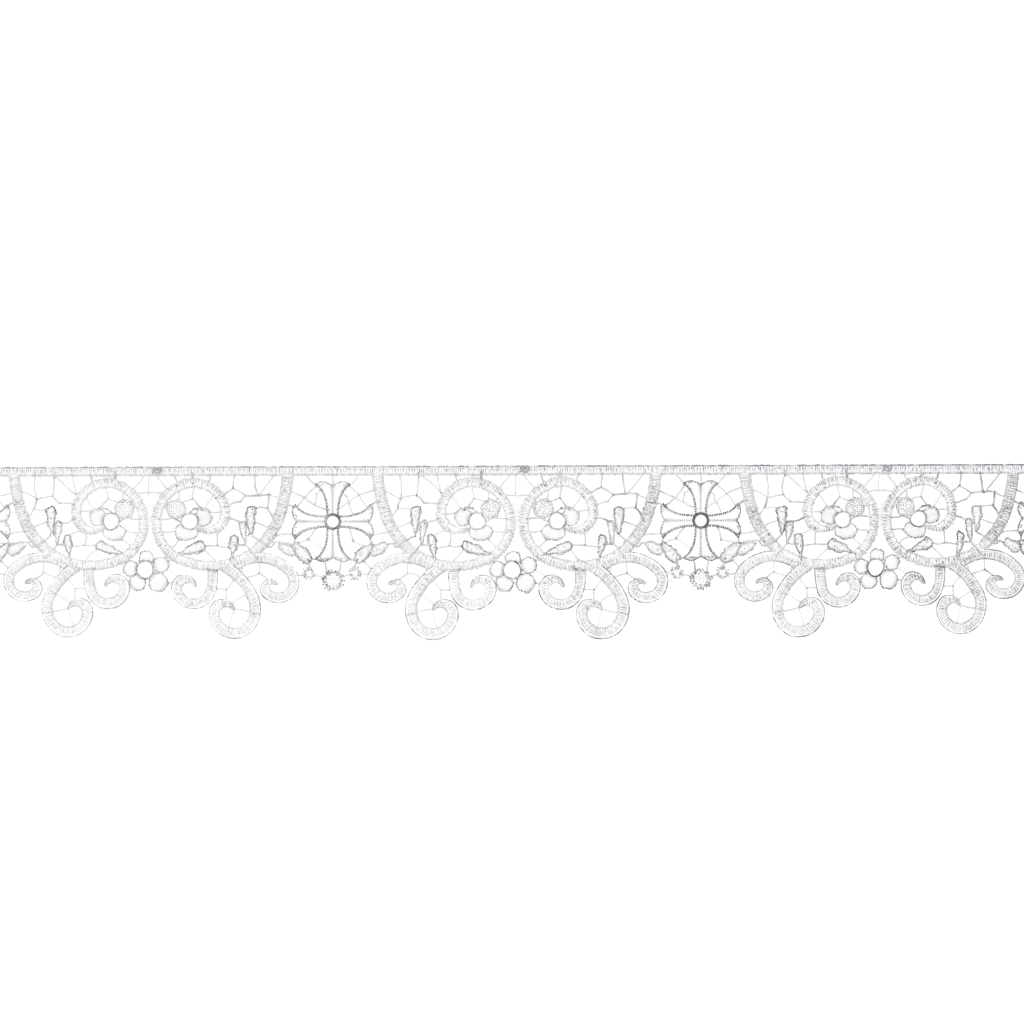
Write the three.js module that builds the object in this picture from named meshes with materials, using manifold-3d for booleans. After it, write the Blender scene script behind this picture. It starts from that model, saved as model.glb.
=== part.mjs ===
// A cut length of white openwork lace edging, lying flat on its wrong side.
// Millimetres, +Z up: X runs along the edging, the straight sewing edge faces +Y,
// the scallops face -Y and the whole wrong side lies on z = 0.
//
// The pattern is drawn like a lace maker's draft. "Across" is measured from the axis
// of a scallop (or of a cross), "down" from the straight edge of the header.
import * as THREE from "three";
import { mergeVertices } from "three/addons/utils/BufferGeometryUtils.js";
import Module from "manifold-3d";

// Size of the pattern
const SCALLOP_COUNT = 3;
const SCALLOP_REPEAT = 190;
const CUT_END = 28;
const HEADER_WIDTH = 5.1;

// How unevenly the length lies, at places along the draft: how far it is drawn aside
// there, and how deep it is as a share of the draft
const LAID = [
  { along: -313, aside: 3, depth: 0.98 },
  { along: -245, aside: 2.5, depth: 0.985 },
  { along: -185, aside: 0.8, depth: 0.99 },
  { along: -120, aside: 0.3, depth: 1 },
  { along: -50, aside: 1.3, depth: 1.004 },
  { along: 60, aside: 1.5, depth: 1.004 },
  { along: 110, aside: 2, depth: 1 },
  { along: 165, aside: 1.4, depth: 0.995 },
  { along: 205, aside: -0.7, depth: 0.985 },
  { along: 240, aside: -2.8, depth: 0.982 },
  { along: 313, aside: -3, depth: 0.98 },
];

// Heights above the surface
const TAPE_HEIGHT = 1.2;
const TAPE_CORD_HEIGHT = 1.8;
const MOTIF_HEIGHT = 1.4;
const PETAL_CROWN_HEIGHT = 1.9;
const RING_HEIGHT = 2;
const BAR_HEIGHT = 1;
const KNOT_HEIGHT = 2.6;

// Widths, and shares of a form's own size
const BAR_WIDTH = 1;
const TAPE_TIP_WIDTH = 1.3;
const TAPER_LENGTH = 10;
const LEAF_TOP_SHARE = 0.5;
const ROSETTE_TOP_SHARE = 0.7;
const LOBE_SHARE = 0.6;

// Fineness of the facets
const CHORD_SAG = 0.8;
const FLATNESS = 0.05;
const RING_SIDES = 8;
const PETAL_SIDES = 7;
const CURVE_STEPS = 2;

// Tapes of the left half, mirrored on the right. Each starts at a place with a heading
// (degrees from +X) and runs through tangent arcs, all turning to the left.
const TAPES = [
  {
    // stem from the header, bowl under the flowers, and the large ring
    across: -72, down: 4.5, heading: -85, width: 5,
    arcs: [
      { radius: 95, turn: 13 },
      { radius: 38, turn: 97 },
      { radius: 20.8, turn: 138 },
      { radius: 16.4, turn: 99 },
      { radius: 9.4, turn: 128 },
    ],
  },
  {
    // outer scroll, beside the cross
    across: -44.7, down: 51.5, heading: 144, width: 5.5,
    arcs: [
      { radius: 21.5, turn: 84 },
      { radius: 8.6, turn: 177 },
      { radius: 3.8, turn: 188 },
    ],
  },
  {
    // lowest scroll
    across: -39, down: 52.1, heading: -150.8, width: 5.8,
    arcs: [
      { radius: 36, turn: 35.8 },
      { radius: 14.5, turn: 61 },
      { radius: 10.8, turn: 141 },
      { radius: 5.7, turn: 160 },
    ],
  },
  {
    // inner scroll, beside the middle flower
    across: -32.7, down: 52, heading: -99.8, width: 5.5,
    arcs: [
      { radius: 30, turn: 25.8 },
      { radius: 9.6, turn: 145 },
      { radius: 5.5, turn: 187 },
    ],
  },
];

// Teardrop leaves of the left half, mirrored on the right
const LEAVES = [
  { head: [-53, 20.5], tip: [-52.9, 36.4], width: 5.6 },
  { head: [-48, 27.8], tip: [-49.8, 41], width: 4.2 },
  { head: [-44.8, 35.5], tip: [-42.4, 50], width: 4.4 },
  { head: [-29.5, 41], tip: [-13, 46.8], width: 5.6 },
];

// Outline of a leaf: how wide it is at each share of the way from head to tip
const LEAF_OUTLINE = [
  { along: 0, fullness: 0.7 },
  { along: 0.25, fullness: 1 },
  { along: 1, fullness: 0.2 },
];

// Flowers: an eyelet ring with round petals set about it
const MIDDLE_FLOWER = {
  eyelet: { across: -2.7, down: 54.1, inner: 3.7, outer: 5.1 },
  petals: [
    { across: -2.2, down: 47.5, radius: 4 },
    { across: 5.9, down: 51.4, radius: 4.3 },
    { across: 4.8, down: 60.7, radius: 4.9 },
    { across: -6.6, down: 60.9, radius: 4.3 },
    { across: -10.3, down: 53.6, radius: 4 },
  ],
};
const RING_FLOWER = {
  eyelet: { across: -20.8, down: 28.8, inner: 3.5, outer: 4.8 },
  petals: [
    { across: -13.8, down: 22.4, radius: 5.2 },
    { across: -27.8, down: 26.7, radius: 4.8 },
    { across: -19, down: 34.5, radius: 6.5, slimness: 0.72 },
  ],
};

// Band of stitches that joins the two large rings on the axis
const COLLAR = { top: 19.5, bottom: 33, width: 8 };

// Cross motif between two scallops, with a leaf pair each side and three rosettes below
const CROSS = {
  down: 28.9,
  ring: { inner: 2.9, outer: 4.5 },
  arm: { rootWidth: 5.4, tipWidth: 17.4, corner: 19.2, lobe: 22.3, dip: 18.4, flare: 15 },
  leaves: [
    { head: [11.6, 49.8], tip: [20.2, 40.6], width: 6.2 },
    { head: [19.7, 45.4], tip: [28, 40.6], width: 6 },
  ],
  rosettes: [
    { across: 0, down: 59.4, radius: 5.6 },
    { across: -12.4, down: 55.8, radius: 3.4 },
    { across: 11.2, down: 55.8, radius: 3.4 },
  ],
};

// Small knot of thread on the header, a little right of each scallop's axis
const HEADER_KNOT = { across: 3.9, down: 2, length: 5.2, width: 3.2 };

// Bars that tie the motifs together.
// Columns: across and down of one end, across and down of the other.
const BARS_BOTH_HALVES = [
  [-2.8, 4.5, -9.2, 12],
  [-32, 4.5, -30.3, 10],
  [-15.1, 10.5, -15.1, 18.8],
  [-64, 32.4, -55, 29],
  [-60.5, 41.5, -53, 35.6],
  [-48, 29.6, -40.8, 27.2],
  [-55.3, 45.6, -49.5, 40.2],
  [-35, 33.5, -35.3, 41.4],
  [-43, 42.4, -35.3, 41.4],
  [-35.3, 41.4, -28, 41.7],
  [-36, 51, -28, 42.2],
  [-40.5, 24, -31, 24],
  [-33.8, 15, -28.4, 23.2],
  [-23.5, 10.5, -22.3, 16.9],
  [-22.3, 16.9, -27.2, 23],
  [-22.3, 16.9, -16.5, 18.9],
  [-16, 28.5, -5, 28.5],
  [-57, 50, -57, 55.8],
  [-57, 55.8, -61, 58.8],
  [-57, 55.8, -50, 58.2],
  [-43.5, 59.5, -39.8, 64.3],
  [-39.8, 64.3, -35, 64.3],
  [-39.8, 64.3, -39.8, 71],
  [-50.8, 66.8, -42.8, 71.6],
  [-54, 76.5, -43.7, 74.4],
];
const BARS_LEFT_HALF = [
  [-61, 4.5, -60.3, 17.1],
  [-51, 4.5, -52, 15.5],
  [-60.3, 17.1, -52, 15.5],
  [-68.5, 13, -60.3, 17.1],
  [-60.3, 17.1, -61.8, 22.3],
  [-61.8, 22.3, -54.5, 22.5],
  [-61.8, 22.3, -65.5, 28.5],
  [-52, 15.5, -48.3, 19.2],
  [-48.3, 19.2, -40.5, 19.7],
  [-50.8, 4.5, -38.5, 15.8],
  [-41.5, 4.5, -39.5, 14],
  [-18.3, 4.5, -18.4, 10],
];
const BARS_RIGHT_HALF = [
  [12.4, 4.5, 14.4, 10],
  [44.4, 4.5, 43.6, 11.4],
  [43.6, 11.4, 34.5, 16.8],
  [43.6, 11.4, 50.1, 15.3],
  [50.1, 15.3, 62.3, 14.7],
  [50.1, 15.3, 47.2, 18.6],
  [47.2, 18.6, 41, 20.6],
  [54.8, 4.5, 56.4, 15],
  [65.5, 4.5, 57, 15],
  [62.3, 14.7, 61.5, 22],
  [62.3, 14.7, 69, 17.6],
  [61.5, 22, 53.5, 22.5],
  [61.5, 22, 65.5, 28.5],
];
const BARS_ON_AXIS = [
  [-0.4, 4.5, -0.8, 14.5],
  [-9, 14.5, 9, 14.5],
  [-10.5, 52, -12, 48],
  [7, 51.5, 12, 48.5],
  [-14, 60, -8, 60.5],
  [6, 60.5, 14, 61],
];

// Bars about a cross, with those that reach out to the scallop on its left or right
const BARS_AT_CROSS = [
  [-8.4, 10.6, -17.9, 20.8],
  [-14.5, 16.3, -2, 22.8],
  [8.4, 10.6, 13.3, 15],
  [13.3, 15, 17.8, 21.5],
  [13.3, 15, 2, 22.8],
  [8.6, 32.5, 10.4, 38.9],
  [10.4, 38.9, 19.8, 40.8],
  [-8.6, 32.5, -12.7, 38],
  [-12.7, 38, -19.8, 40.8],
  [19.2, 36, 19.8, 41],
  [-19.2, 36, -19.8, 41],
  [-7.5, 48.5, -12.6, 48.5],
  [7.5, 48.5, 12.6, 48.5],
  [-12.5, 49, -12.4, 54],
  [12.3, 49, 11.2, 54],
  [-4.5, 48, -3, 56],
  [4.5, 48, 3, 56],
  [-14, 4.5, -8.4, 10.4],
  [0, 4.5, 0, 11],
  [14, 4.5, 8.4, 10.4],
];
const BARS_LEFT_OF_CROSS = [
  [-24.5, 12, -14.5, 16.3],
  [-24, 18.5, -19, 21],
  [-29, 36.2, -18.5, 36],
  [-33, 39.8, -20, 40.6],
  [-22, 56.5, -14, 56.5],
];
const BARS_RIGHT_OF_CROSS = [
  [24.5, 11.5, 13.3, 15],
  [24, 18.5, 19, 21],
  [29, 34.2, 18.5, 36],
  [33, 39.8, 20, 40.6],
  [22, 56.5, 13, 56.5],
];

const wasm = await Module();
wasm.setup();

const { degToRad: radians, lerp } = THREE.MathUtils;
const EDGING_LENGTH = SCALLOP_COUNT * SCALLOP_REPEAT + 2 * CUT_END;

// Where a place on the draft comes to lie on the uneven length
function laid(x, y) {
  const next = Math.max(1, LAID.findIndex(({ along }) => along >= x));
  const [from, to] = [LAID[next - 1], LAID[next]];
  const share = (x - from.along) / (to.along - from.along);
  return { x: x + lerp(from.aside, to.aside, share), y: y * lerp(from.depth, to.depth, share) };
}

// A closed solid for joining, from a geometry whose shared points are merged, laid about
// an axis of the edging. A side of -1 mirrors it, which also turns its faces round.
function solidAt(geometry, axis, side) {
  const merged = geometry.clone();
  merged.deleteAttribute("normal");
  merged.deleteAttribute("uv");
  const { attributes: { position }, index } = mergeVertices(merged);
  for (let i = 0; i < position.count; i++) {
    const { x, y } = laid(axis + side * position.getX(i), position.getY(i));
    position.setXY(i, x, y);
  }
  const corners = side > 0 ? index.array : index.array.toReversed();
  return new wasm.Manifold(new wasm.Mesh({
    numProp: 3,
    vertProperties: Float32Array.from(position.array),
    triVerts: Uint32Array.from(corners),
  }));
}

// Skin over cross-sections with equal numbers of points, closed at both ends
function loft(sections) {
  const count = sections[0].length;
  const last = (sections.length - 1) * count;
  const faces = [];
  for (let start = 0; start < last; start += count) {
    for (let i = 0; i < count; i++) {
      const near = start + i;
      const next = start + (i + 1) % count;
      faces.push(near, next + count, next, near, near + count, next + count);
    }
  }
  for (let i = 1; i + 1 < count; i++) {
    faces.push(0, i, i + 1, last, last + i + 1, last + i);
  }
  const geometry = new THREE.BufferGeometry().setFromPoints(sections.flat());
  geometry.setIndex(faces);
  return geometry;
}

// One cross-section standing at a place along a path. The profile lists the offset to
// the left of the path and the height of each point, counter-clockwise seen from behind.
function sectionAt({ x, y, heading }, profile) {
  return profile.map(([left, height]) => new THREE.Vector3(
    x - Math.sin(heading) * left,
    y + Math.cos(heading) * left,
    height,
  ));
}

// Tape profile: the thick cord of the outer edge stands on the right of the path
function tapeProfile(width, cordHeight) {
  const half = width / 2;
  return [[half, TAPE_HEIGHT], [half, 0], [-half, 0], [-half, cordHeight]];
}

// Places along a chain of tangent arcs, close enough that no chord sags off its arc
function walkArcs({ across, down, heading, arcs }) {
  const places = [{ x: across, y: -down, heading: radians(heading), along: 0 }];
  for (const { radius, turn } of arcs) {
    const fitting = 2 * Math.acos(1 - CHORD_SAG / radius);
    const steps = Math.ceil(radians(turn) / fitting);
    const step = radians(turn) / steps;
    const chord = 2 * radius * Math.sin(step / 2);
    for (let i = 0; i < steps; i++) {
      const from = places[places.length - 1];
      places.push({
        x: from.x + chord * Math.cos(from.heading + step / 2),
        y: from.y + chord * Math.sin(from.heading + step / 2),
        heading: from.heading + step,
        along: from.along + radius * step,
      });
    }
  }
  return places;
}

// A tape narrows to a point and its raised cord sinks toward the curled end
function tape(draft) {
  const places = walkArcs(draft);
  const length = places[places.length - 1].along;
  return loft(places.map((place) => {
    const fullness = Math.min(1, (length - place.along) / TAPER_LENGTH);
    const width = lerp(TAPE_TIP_WIDTH, draft.width, fullness);
    const cord = lerp(TAPE_HEIGHT, TAPE_CORD_HEIGHT, fullness);
    return sectionAt(place, tapeProfile(width, cord));
  }));
}

// A straight bar with a ridge, from one place to another
function bar([fromAcross, fromDown, toAcross, toDown]) {
  const heading = Math.atan2(fromDown - toDown, toAcross - fromAcross);
  const profile = [[0, BAR_HEIGHT], [BAR_WIDTH / 2, 0], [-BAR_WIDTH / 2, 0]];
  return loft([
    sectionAt({ x: fromAcross, y: -fromDown, heading }, profile),
    sectionAt({ x: toAcross, y: -toDown, heading }, profile),
  ]);
}

// A teardrop leaf from its round head to its tip
function leaf({ head, tip, width }) {
  const heading = Math.atan2(head[1] - tip[1], tip[0] - head[0]);
  return loft(LEAF_OUTLINE.map(({ along, fullness }) => {
    const half = width * fullness / 2;
    const top = half * LEAF_TOP_SHARE;
    const place = {
      x: lerp(head[0], tip[0], along),
      y: -lerp(head[1], tip[1], along),
      heading,
    };
    return sectionAt(place, [[top, MOTIF_HEIGHT], [half, 0], [-half, 0], [-top, MOTIF_HEIGHT]]);
  }));
}

// A turned form standing on the surface, from a profile of radius and height
function turned(profile, sides, { across, down, slimness = 1 }) {
  const points = profile.map(([radius, height]) => new THREE.Vector2(radius, height));
  const geometry = new THREE.LatheGeometry(points, sides);
  geometry.rotateX(Math.PI / 2);
  geometry.scale(1, slimness, 1);
  geometry.translate(across, -down, 0);
  return geometry;
}

// A padded spot with an upright rim and a raised middle
function crowned(spot, radius, crown) {
  return turned([[0, 0], [radius, 0], [radius, BAR_HEIGHT], [0, crown]], PETAL_SIDES, spot);
}

function petal(spot) {
  return crowned(spot, spot.radius, PETAL_CROWN_HEIGHT);
}

function headerKnot(spot) {
  return crowned({ ...spot, slimness: spot.width / spot.length }, spot.length / 2, KNOT_HEIGHT);
}

function rosette(spot) {
  const top = spot.radius * ROSETTE_TOP_SHARE;
  return turned([[0, 0], [spot.radius, 0], [top, MOTIF_HEIGHT], [0, MOTIF_HEIGHT]], RING_SIDES, spot);
}

function eyeletRing(spot) {
  const { inner, outer } = spot;
  const crest = (inner + outer) / 2;
  return turned([[inner, 0], [outer, 0], [crest, RING_HEIGHT], [inner, 0]], RING_SIDES, spot);
}

// Petals open at the eyelet, where the ring then stands
function flower({ eyelet, petals }, put) {
  const bore = (eyelet.inner + eyelet.outer) / 2;
  const through = [[0, -RING_HEIGHT], [bore, -RING_HEIGHT], [bore, RING_HEIGHT], [0, RING_HEIGHT]];
  const hole = put(turned(through, RING_SIDES, eyelet));
  return union(petals.map(petal).map(put)).subtract(hole).add(put(eyeletRing(eyelet)));
}

// One flared arm of the cross, its end in two lobes with a dip between
function crossArm(quarterTurns) {
  const { rootWidth, tipWidth, corner, lobe, dip, flare } = CROSS.arm;
  const root = rootWidth / 2;
  const tip = tipWidth / 2;
  const start = (CROSS.ring.inner + CROSS.ring.outer) / 2;
  const outline = new THREE.Shape();
  outline.moveTo(-root, start);
  outline.lineTo(root, start);
  outline.quadraticCurveTo(root, flare, tip, corner);
  outline.quadraticCurveTo(tip * LOBE_SHARE, lobe, 0, dip);
  outline.quadraticCurveTo(-tip * LOBE_SHARE, lobe, -tip, corner);
  outline.quadraticCurveTo(-root, flare, -root, start);
  const geometry = new THREE.ExtrudeGeometry(outline, {
    depth: MOTIF_HEIGHT,
    bevelEnabled: false,
    curveSegments: CURVE_STEPS,
  });
  geometry.rotateZ(quarterTurns * Math.PI / 2);
  geometry.translate(0, -CROSS.down, 0);
  return geometry;
}

function union(solids) {
  return wasm.Manifold.union(solids);
}

function collar({ top, bottom, width }) {
  const geometry = new THREE.BoxGeometry(width, bottom - top, TAPE_HEIGHT);
  geometry.translate(0, -(top + bottom) / 2, TAPE_HEIGHT / 2);
  return geometry;
}

// Two ways to lay a form about an axis: as drawn, and mirrored
function bothSides(axis) {
  return [1, -1].map((side) => (geometry) => solidAt(geometry, axis, side));
}

function scallop(axis) {
  const sides = bothSides(axis);
  const [put] = sides;
  const halfForms = [...TAPES.map(tape), ...LEAVES.map(leaf), ...BARS_BOTH_HALVES.map(bar)];
  const ties = [...BARS_LEFT_HALF, ...BARS_RIGHT_HALF, ...BARS_ON_AXIS];
  return [
    ...sides.flatMap((putHalf) => [...halfForms.map(putHalf), flower(RING_FLOWER, putHalf)]),
    flower(MIDDLE_FLOWER, put),
    put(collar(COLLAR)),
    put(headerKnot(HEADER_KNOT)),
    ...ties.map(bar).map(put),
  ];
}

function crossMotif(axis, ties) {
  const sides = bothSides(axis);
  const [put] = sides;
  return [
    ...[0, 1, 2, 3].map(crossArm).map(put),
    put(eyeletRing({ across: 0, down: CROSS.down, ...CROSS.ring })),
    ...sides.flatMap((putSide) => CROSS.leaves.map(leaf).map(putSide)),
    ...CROSS.rosettes.map(rosette).map(put),
    ...[...BARS_AT_CROSS, ...ties].map(bar).map(put),
  ];
}

function header() {
  const y = -HEADER_WIDTH / 2;
  const profile = tapeProfile(HEADER_WIDTH, TAPE_CORD_HEIGHT);
  const ends = [EDGING_LENGTH / 2, -EDGING_LENGTH / 2];
  return loft(ends.map((x) => sectionAt({ x, y, heading: Math.PI }, profile)));
}

// The cut ends have no scallop for their outermost ties to reach
function edging() {
  const pieces = [solidAt(header(), 0, 1)];
  for (let i = 0; i < SCALLOP_COUNT; i++) {
    pieces.push(...scallop((i - (SCALLOP_COUNT - 1) / 2) * SCALLOP_REPEAT));
  }
  for (let i = 0; i <= SCALLOP_COUNT; i++) {
    const ties = [
      ...(i > 0 ? BARS_LEFT_OF_CROSS : []),
      ...(i < SCALLOP_COUNT ? BARS_RIGHT_OF_CROSS : []),
    ];
    pieces.push(...crossMotif((i - SCALLOP_COUNT / 2) * SCALLOP_REPEAT, ties));
  }
  return union(pieces).asOriginal().simplify(FLATNESS);
}

function geometryOf(solid) {
  const { vertProperties, triVerts } = solid.getMesh();
  const geometry = new THREE.BufferGeometry();
  geometry.setAttribute("position", new THREE.BufferAttribute(Float32Array.from(vertProperties), 3));
  geometry.setIndex(new THREE.BufferAttribute(Uint32Array.from(triVerts), 1));
  geometry.computeVertexNormals();
  return geometry;
}

const laceEdging = new THREE.Mesh(
  geometryOf(edging()),
  new THREE.MeshStandardMaterial({ color: 0xf3f1f4, roughness: 0.85, metalness: 0 }),
);
laceEdging.name = "lace_edging";

// The origin lies under the middle of the edging's box
laceEdging.geometry.computeBoundingBox();
const middle = laceEdging.geometry.boundingBox.getCenter(new THREE.Vector3());
laceEdging.position.set(-middle.x, -middle.y, 0);

const part = new THREE.Group();
part.add(laceEdging);

export default part;
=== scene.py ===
# %% [markdown]
# # A white openwork lace edging, thread by thread
# Embroidered lace of this kind is sewn on a ground that is later dissolved, so only thread is left:
# broad tapes in satin stitch, raised cords along their edges, padded flowers and leaves, and single
# threads that tie them together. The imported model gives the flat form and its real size. Here each form
# gets its threads, in the same frame and in metres.

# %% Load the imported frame
import math
from collections import namedtuple

import bpy
import numpy as np
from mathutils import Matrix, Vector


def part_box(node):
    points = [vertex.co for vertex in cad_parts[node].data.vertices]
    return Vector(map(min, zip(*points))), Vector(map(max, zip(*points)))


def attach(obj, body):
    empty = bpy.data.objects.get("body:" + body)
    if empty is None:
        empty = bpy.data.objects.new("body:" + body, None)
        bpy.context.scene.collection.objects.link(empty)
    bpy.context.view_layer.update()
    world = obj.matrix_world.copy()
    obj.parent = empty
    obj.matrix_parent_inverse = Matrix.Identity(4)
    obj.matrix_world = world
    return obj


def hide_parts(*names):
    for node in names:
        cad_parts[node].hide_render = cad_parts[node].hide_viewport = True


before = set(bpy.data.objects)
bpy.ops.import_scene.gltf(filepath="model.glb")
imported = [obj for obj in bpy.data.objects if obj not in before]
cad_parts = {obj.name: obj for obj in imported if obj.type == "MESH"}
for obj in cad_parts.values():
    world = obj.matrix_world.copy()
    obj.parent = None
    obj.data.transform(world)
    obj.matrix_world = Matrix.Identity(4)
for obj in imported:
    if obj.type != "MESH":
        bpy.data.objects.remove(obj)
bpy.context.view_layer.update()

MM = 0.001
lowest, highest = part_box("lace_edging")
header_top = highest[1] / MM

# %% [markdown]
# ## The lace maker's draft
# The pattern repeats, so it is drawn once about one axis and copied. "Across" runs along the edging from
# the axis of a scallop or of a cross, and "down" from the straight header edge, both in millimetres.
# A tape is a chain of arcs that join smoothly: each has a radius and the degrees that it turns. Where
# tapes cross, one is lifted a little over the other. Its other columns are tables of its stitches.

# %% The draft of the tapes
SCALLOPS = 3
REPEAT = 190
CUT_END = 28
draft_length = SCALLOPS * REPEAT + 2 * CUT_END
scallop_axes = [(i - (SCALLOPS - 1) / 2) * REPEAT for i in range(SCALLOPS)]
cross_axes = [(i - SCALLOPS / 2) * REPEAT for i in range(SCALLOPS + 1)]

HEADER_WIDTH = 5.1
TIP_WIDTH = 1.3
TAPER_LENGTH = 10

Tape = namedtuple("Tape", "across down heading width lifted arcs rungs roll contours strewn")
TAPES = {
    "stem_bowl_and_ring": Tape(
        -72, 4.5, -85, 5, 0.25, [(95, 13), (38, 97), (20.8, 138), (16.4, 99), (9.4, 128)],
        rungs=[(0, 0.5, 0.5, 4.6), (26, 0.5, 0.5, 4.4), (36, 0.25, 0.46, 4), (46, 0.18, 0.36, 3.2),
               (74, 0.28, 0.3, 3), (92, 0.55, 0.28, 3), (185, 0.65, 0.28, 3)],
        roll=0, contours=[],
        strewn=[(1, 16, 1.05, 14, 0.7), (14, 36, 1.15, 80, 1), (36, 46, 0.9, 12, 0.5),
                (46, 74, 0.9, 30, 0.7), (74, 84, 0.8, 16, 0.7), (84, 185, 0.9, 60, 0.7)]),
    "outer_scroll": Tape(
        -44.7, 51.5, 144, 5.5, 0.1, [(21.5, 84), (8.6, 177), (3.8, 188)],
        rungs=[(0, 0.6, 0.58, 3), (15, 0.45, 0.6, 2.8), (70, 0.45, 0.6, 2.8)], roll=0.42,
        contours=[(0, 0.4, 0.7), (18, 0.55, 0.6), (30, 0.8, 0.4), (70, 0.8, 0.4)],
        strewn=[(0, 16, 0.8, 26, 0.6), (60, 69, 0.8, 16, 0.7)]),
    "lowest_scroll": Tape(
        -39, 52.1, -150.8, 5.8, 0, [(36, 35.8), (14.5, 61), (10.8, 141), (5.7, 160)],
        rungs=[(0, 0.6, 0.58, 3.2), (15, 0.45, 0.6, 2.9), (80, 0.35, 0.6, 2.8)], roll=0.45,
        contours=[(0, 0.9, 0.45), (16, 0.9, 0.4), (26, 0.75, 0.35), (81, 0.7, 0.35)],
        strewn=[(6, 16, 0.8, 14, 0.6), (69, 79, 0.8, 16, 0.7)]),
    "inner_scroll": Tape(
        -32.7, 52, -99.8, 5.5, 0.05, [(30, 25.8), (9.6, 145), (5.5, 187)],
        rungs=[(0, 0.6, 0.58, 3), (15, 0.45, 0.6, 2.8), (54, 0.45, 0.6, 2.8)], roll=0.42,
        contours=[(0, 0.75, 0.4), (54, 0.8, 0.4)],
        strewn=[(0, 8, 0.8, 16, 0.6), (44, 52, 0.8, 16, 0.7)]),
}
tape_length = sum(r * math.radians(turn) for tape in TAPES.values() for r, turn in tape.arcs)
print(len(TAPES), "tapes in half a scallop,", round(tape_length), "mm of tape")

# %% [markdown]
# ## How unevenly the length lies
# Cloth never lies quite as it was drafted. Here both ends are drawn in a little, the right one more, and
# both are shallower than the middle. Everything is modelled on the even draft and laid at the end: the
# table gives places along the draft, how far the cloth is drawn aside there, and its depth as a share of
# the draft.

# %% From the draft to the frame
LAID = [(-313, 3, 0.98), (-245, 2.5, 0.985), (-185, 0.8, 0.99), (-120, 0.45, 1), (-50, 1.5, 1.004),
        (60, 1.5, 1.004), (110, 2, 1), (165, 1.4, 0.995), (205, -0.7, 0.985), (240, -2.8, 0.982),
        (313, -3, 0.98)]


def laid(points):
    """Points of the draft, in millimetres from the header edge, as metres where the cloth lies."""
    along, aside, depth = np.array(LAID).T
    x, y, z = points.T
    across = x + np.interp(x, along, aside)
    back = y * np.interp(x, along, depth) + header_top
    return np.stack([across, back, z], 1) * MM


ends = laid(np.array([[-draft_length / 2, 0, 0], [draft_length / 2, 0, 0]]))
print("laid from x =", round(ends[0, 0], 4), "to", round(ends[1, 0], 4), "m")

# %% [markdown]
# ## Walking along a tape
# Cords and stitches follow a tape, so a helper walks along its arcs. At even steps it gives the middle of
# the tape, the direction to its left, half its width there and the distance walked. Every curl narrows to
# a point over its last centimetre.

# %% Places along a tape
Walk = namedtuple("Walk", "middle left half along fullness")
FINE_STEP = 0.2


def walk(tape, spacing):
    fine_middle, fine_heading = [], []
    place = np.array([tape.across, -tape.down], float)
    heading = math.radians(tape.heading)
    for radius, turn in tape.arcs:
        turn = math.radians(turn)
        centre = place + radius * np.array([-math.sin(heading), math.cos(heading)])
        angles = heading + np.linspace(0, turn, max(3, int(radius * turn / FINE_STEP)))
        fine_middle.append(centre + radius * np.stack([np.sin(angles), -np.cos(angles)], 1))
        fine_heading.append(angles)
        heading += turn
        place = fine_middle[-1][-1]
    fine_middle = np.concatenate(fine_middle)
    fine_heading = np.concatenate(fine_heading)
    steps = np.linalg.norm(np.diff(fine_middle, axis=0), axis=1)
    fine_along = np.concatenate([[0], np.cumsum(steps)])
    length = fine_along[-1]
    along = np.linspace(0, length, int(length / spacing) + 1)
    middle = np.stack([np.interp(along, fine_along, fine_middle[:, i]) for i in (0, 1)], 1)
    turned = np.interp(along, fine_along, fine_heading)
    left = np.stack([-np.sin(turned), np.cos(turned)], 1)
    fullness = np.minimum(1, (length - along) / TAPER_LENGTH)
    half = (TIP_WIDTH + (tape.width - TIP_WIDTH) * fullness) / 2
    return Walk(middle, left, half, along, fullness)


for name, tape in TAPES.items():
    print(name, "is", round(walk(tape, 1).along[-1], 1), "mm long")

# %% [markdown]
# ## The body under the stitches
# A satin-stitched tape is padded: run threads fill it out before the satin covers them. That body is a
# flattened tube. It is modelled as by hand: a circle stands across the start of the tape, squashed to an
# oval, and the spin tool sweeps it round one arc after another. Its end is then drawn to a point.

# %% Small helpers for modelling


def deselect():
    if bpy.context.object and bpy.context.object.mode != "OBJECT":
        bpy.ops.object.mode_set(mode="OBJECT")
    bpy.ops.object.select_all(action="DESELECT")


def face_outward():
    bpy.ops.mesh.select_all(action="SELECT")
    bpy.ops.mesh.normals_make_consistent(inside=False)


def closed_ends():
    bpy.ops.mesh.select_all(action="DESELECT")
    bpy.ops.mesh.select_non_manifold()
    bpy.ops.mesh.edge_face_add()
    face_outward()


def mesh_points(body):
    points = np.empty((len(body.data.vertices), 3))
    body.data.vertices.foreach_get("co", points.ravel())
    return points


def move_points(body, points):
    body.data.vertices.foreach_set("co", points.ravel())
    body.data.update()


def in_metres(across, down, height):
    return (across * MM, (header_top - down) * MM, height * MM)


print("the middle of the header edge is at", [round(value, 4) for value in in_metres(0, 0, 0)], "m")

# %% Tape bodies by spinning an oval
BODY_SIDES = 10
BODY_HEIGHT = 0.75
BODY_INSET = 0.45
SPIN_SPACING = 1.6


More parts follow.
